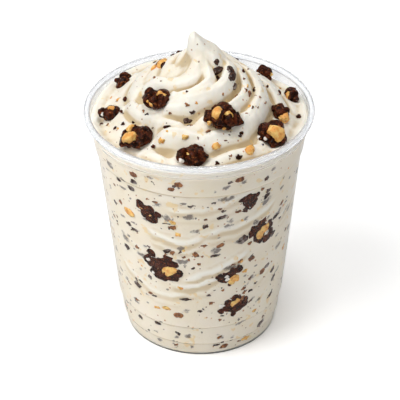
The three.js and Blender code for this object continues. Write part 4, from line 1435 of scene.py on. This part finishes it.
def scatter(name, rows, material, raggedness, grain):
    mesh = bpy.data.meshes.new(name)
    mesh.from_pydata([tuple(row[0] * MM) for row in rows], [], [])
    for title, vectors in (
        ("outwards", [row[1] for row in rows]),
        ("lengthwise", [row[2] for row in rows]),
        ("half_size", [Vector(row[3:6]) * 0.5 * MM for row in rows]),
    ):
        flat = [v for vector in vectors for v in vector]
        mesh.attributes.new(title, "FLOAT_VECTOR", "POINT").data.foreach_set("vector", flat)
    cloud = bpy.data.objects.new(name + "_points", mesh)
    bpy.context.collection.objects.link(cloud)
    modifier = cloud.modifiers.new("bits", "NODES")
    modifier.node_group = BIT_TREE
    identifiers = {item.name: item.identifier for item in BIT_TREE.interface.items_tree}
    values = {"Raggedness": raggedness * MM, "Grain": 1 / (grain * MM), "Lift": 0.15, "Material": material}
    for title, value in values.items():
        modifier[identifiers[title]] = value
    bpy.context.view_layer.update()
    graph = bpy.context.evaluated_depsgraph_get()
    made = bpy.data.meshes.new_from_object(cloud.evaluated_get(graph), depsgraph=graph)
    made.name = name
    bpy.data.objects.remove(cloud)
    piece = bpy.data.objects.new(name, made)
    bpy.context.collection.objects.link(piece)
    finish_piece(piece)


# %% Scatter each kind
for name, rows, material, slot in (
    ("dark_bits_top", top_points("dark", 21, 22, (0.6, 2.2)), CHOCOLATE, "chocolate_peanut"),
    ("filmed_bits_top", top_points("filmed", 24, 8, (1.0, 3.0)), FILMED, "chocolate_peanut"),
    ("dark_bits_wall", wall_points("dark", 21, 190, (0.5, 4.2)), VEILED, "chocolate_peanut"),
    ("brown_bits_top", top_points("brown", 22, 44, (0.5, 1.6)), CRUMB, "chocolate_peanut"),
    ("brown_bits_wall", wall_points("brown", 22, 170, (0.5, 3.2)), CRUMB, "chocolate_peanut"),
    ("nut_bits_top", top_points("nut", 23, 14, (0.6, 2.4)), NUT, "peanut"),
    ("nut_bits_wall", wall_points("nut", 23, 60, (0.6, 4.0)), NUT, "peanut"),
):
    scatter(name, rows, material, 2.8, 0.9)

# %% [markdown]
# ## Studio
# The cup stands on a plain white floor. A large soft lamp from the upper left gives the picture's
# soft shade on the right, and a bright even surround keeps the floor white.

# %% Floor, surround and lamps
FLOOR_GAIN = 0.70
THROUGH_GAIN = 0.6


def white_floor():
    mesh = bpy.data.meshes.new("floor")
    side = 3.0
    corners = [(-side, -side, 0), (side, -side, 0), (side, side, 0), (-side, side, 0)]
    mesh.from_pydata(corners, [], [(0, 1, 2, 3)])
    look = Finish("white_floor")
    grain = look.noise(40.0, 2.0)
    tone = look.colours(grain, (0.79, 0.79, 0.79), (0.81, 0.81, 0.81))
    ray = look.node("ShaderNodeLightPath")
    gain = 1.0 + FLOOR_GAIN * ray.also("Is Camera Ray") + THROUGH_GAIN * ray.also("Is Transmission Ray")
    bright = look.node("ShaderNodeVectorMath", {"operation": "SCALE"}, {0: tone, "Scale": gain})
    mesh.materials.append(look.show(look.node("ShaderNodeBsdfDiffuse", inputs={"Color": bright})))
    floor = bpy.data.objects.new("floor", mesh)
    bpy.context.collection.objects.link(floor)


def surround(strength):
    world = bpy.data.worlds.new("studio")
    bpy.context.scene.world = world
    world.use_nodes = True
    web = Web(world.node_tree)
    ray = web.node("ShaderNodeTexCoord", output="Generated")
    up = web.node("ShaderNodeSeparateXYZ", inputs={"Vector": ray}, output="Z")
    level = up.between(0.05, 0.55)
    tone = web.node("ShaderNodeMix", {"data_type": "RGBA"},
                    {0: level, 6: (0.85, 0.86, 0.88, 1), 7: (1.0, 1.0, 1.0, 1)}, output=2)
    sky = web.node("ShaderNodeBackground", inputs={"Color": tone, "Strength": strength})
    web.node("ShaderNodeOutputWorld", inputs={"Surface": sky})


def lamp(name, place, aim, size, watts):
    light = bpy.data.lights.new(name, "AREA")
    light.shape, light.size, light.energy = "DISK", size, watts
    holder = bpy.data.objects.new(name, light)
    holder.location = place
    holder.rotation_euler = (Vector(aim) - Vector(place)).to_track_quat("-Z", "Y").to_euler()
    bpy.context.collection.objects.link(holder)


white_floor()
surround(0.485)
lamp("key", (-0.58, -0.32, 0.88), (0, 0, 0.08), 0.7, 4.7)
lamp("top", (0.05, -0.05, 1.0), (0, 0, 0.08), 0.3, 2.0)
scene = bpy.context.scene
scene.view_settings.view_transform = "Standard"

# %% [markdown]
# ## Camera
# The picture was taken from about 34 degrees above the table with a long lens. The ellipses of the
# rim, the steps and the foot fix the height, the distance and a slight roll.

# %% Place the camera
ELEVATION = math.radians(34.35)
DISTANCE = 800.0
AIM_HEIGHT = 59.54
ROLL = math.radians(-0.54)
PIXELS_FOCAL = 1835.5
camera_data = bpy.data.cameras.new("camera")
camera_data.sensor_width = 36.0
camera_data.lens = 36.0 * PIXELS_FOCAL / 400
camera = bpy.data.objects.new("camera", camera_data)
forward = Vector((0, math.cos(ELEVATION), -math.sin(ELEVATION)))
level_right = Vector((1, 0, 0))
level_up = Vector((0, math.sin(ELEVATION), math.cos(ELEVATION)))
right = math.cos(ROLL) * level_right + math.sin(ROLL) * level_up
up = -math.sin(ROLL) * level_right + math.cos(ROLL) * level_up
spot = (Vector((0, 0, AIM_HEIGHT)) - forward * DISTANCE) * MM
camera.matrix_world = Matrix.Translation(spot) @ Matrix((right, up, -forward)).transposed().to_4x4()
bpy.context.collection.objects.link(camera)
scene.camera = camera
print("lens:", round(camera_data.lens, 1), "mm")
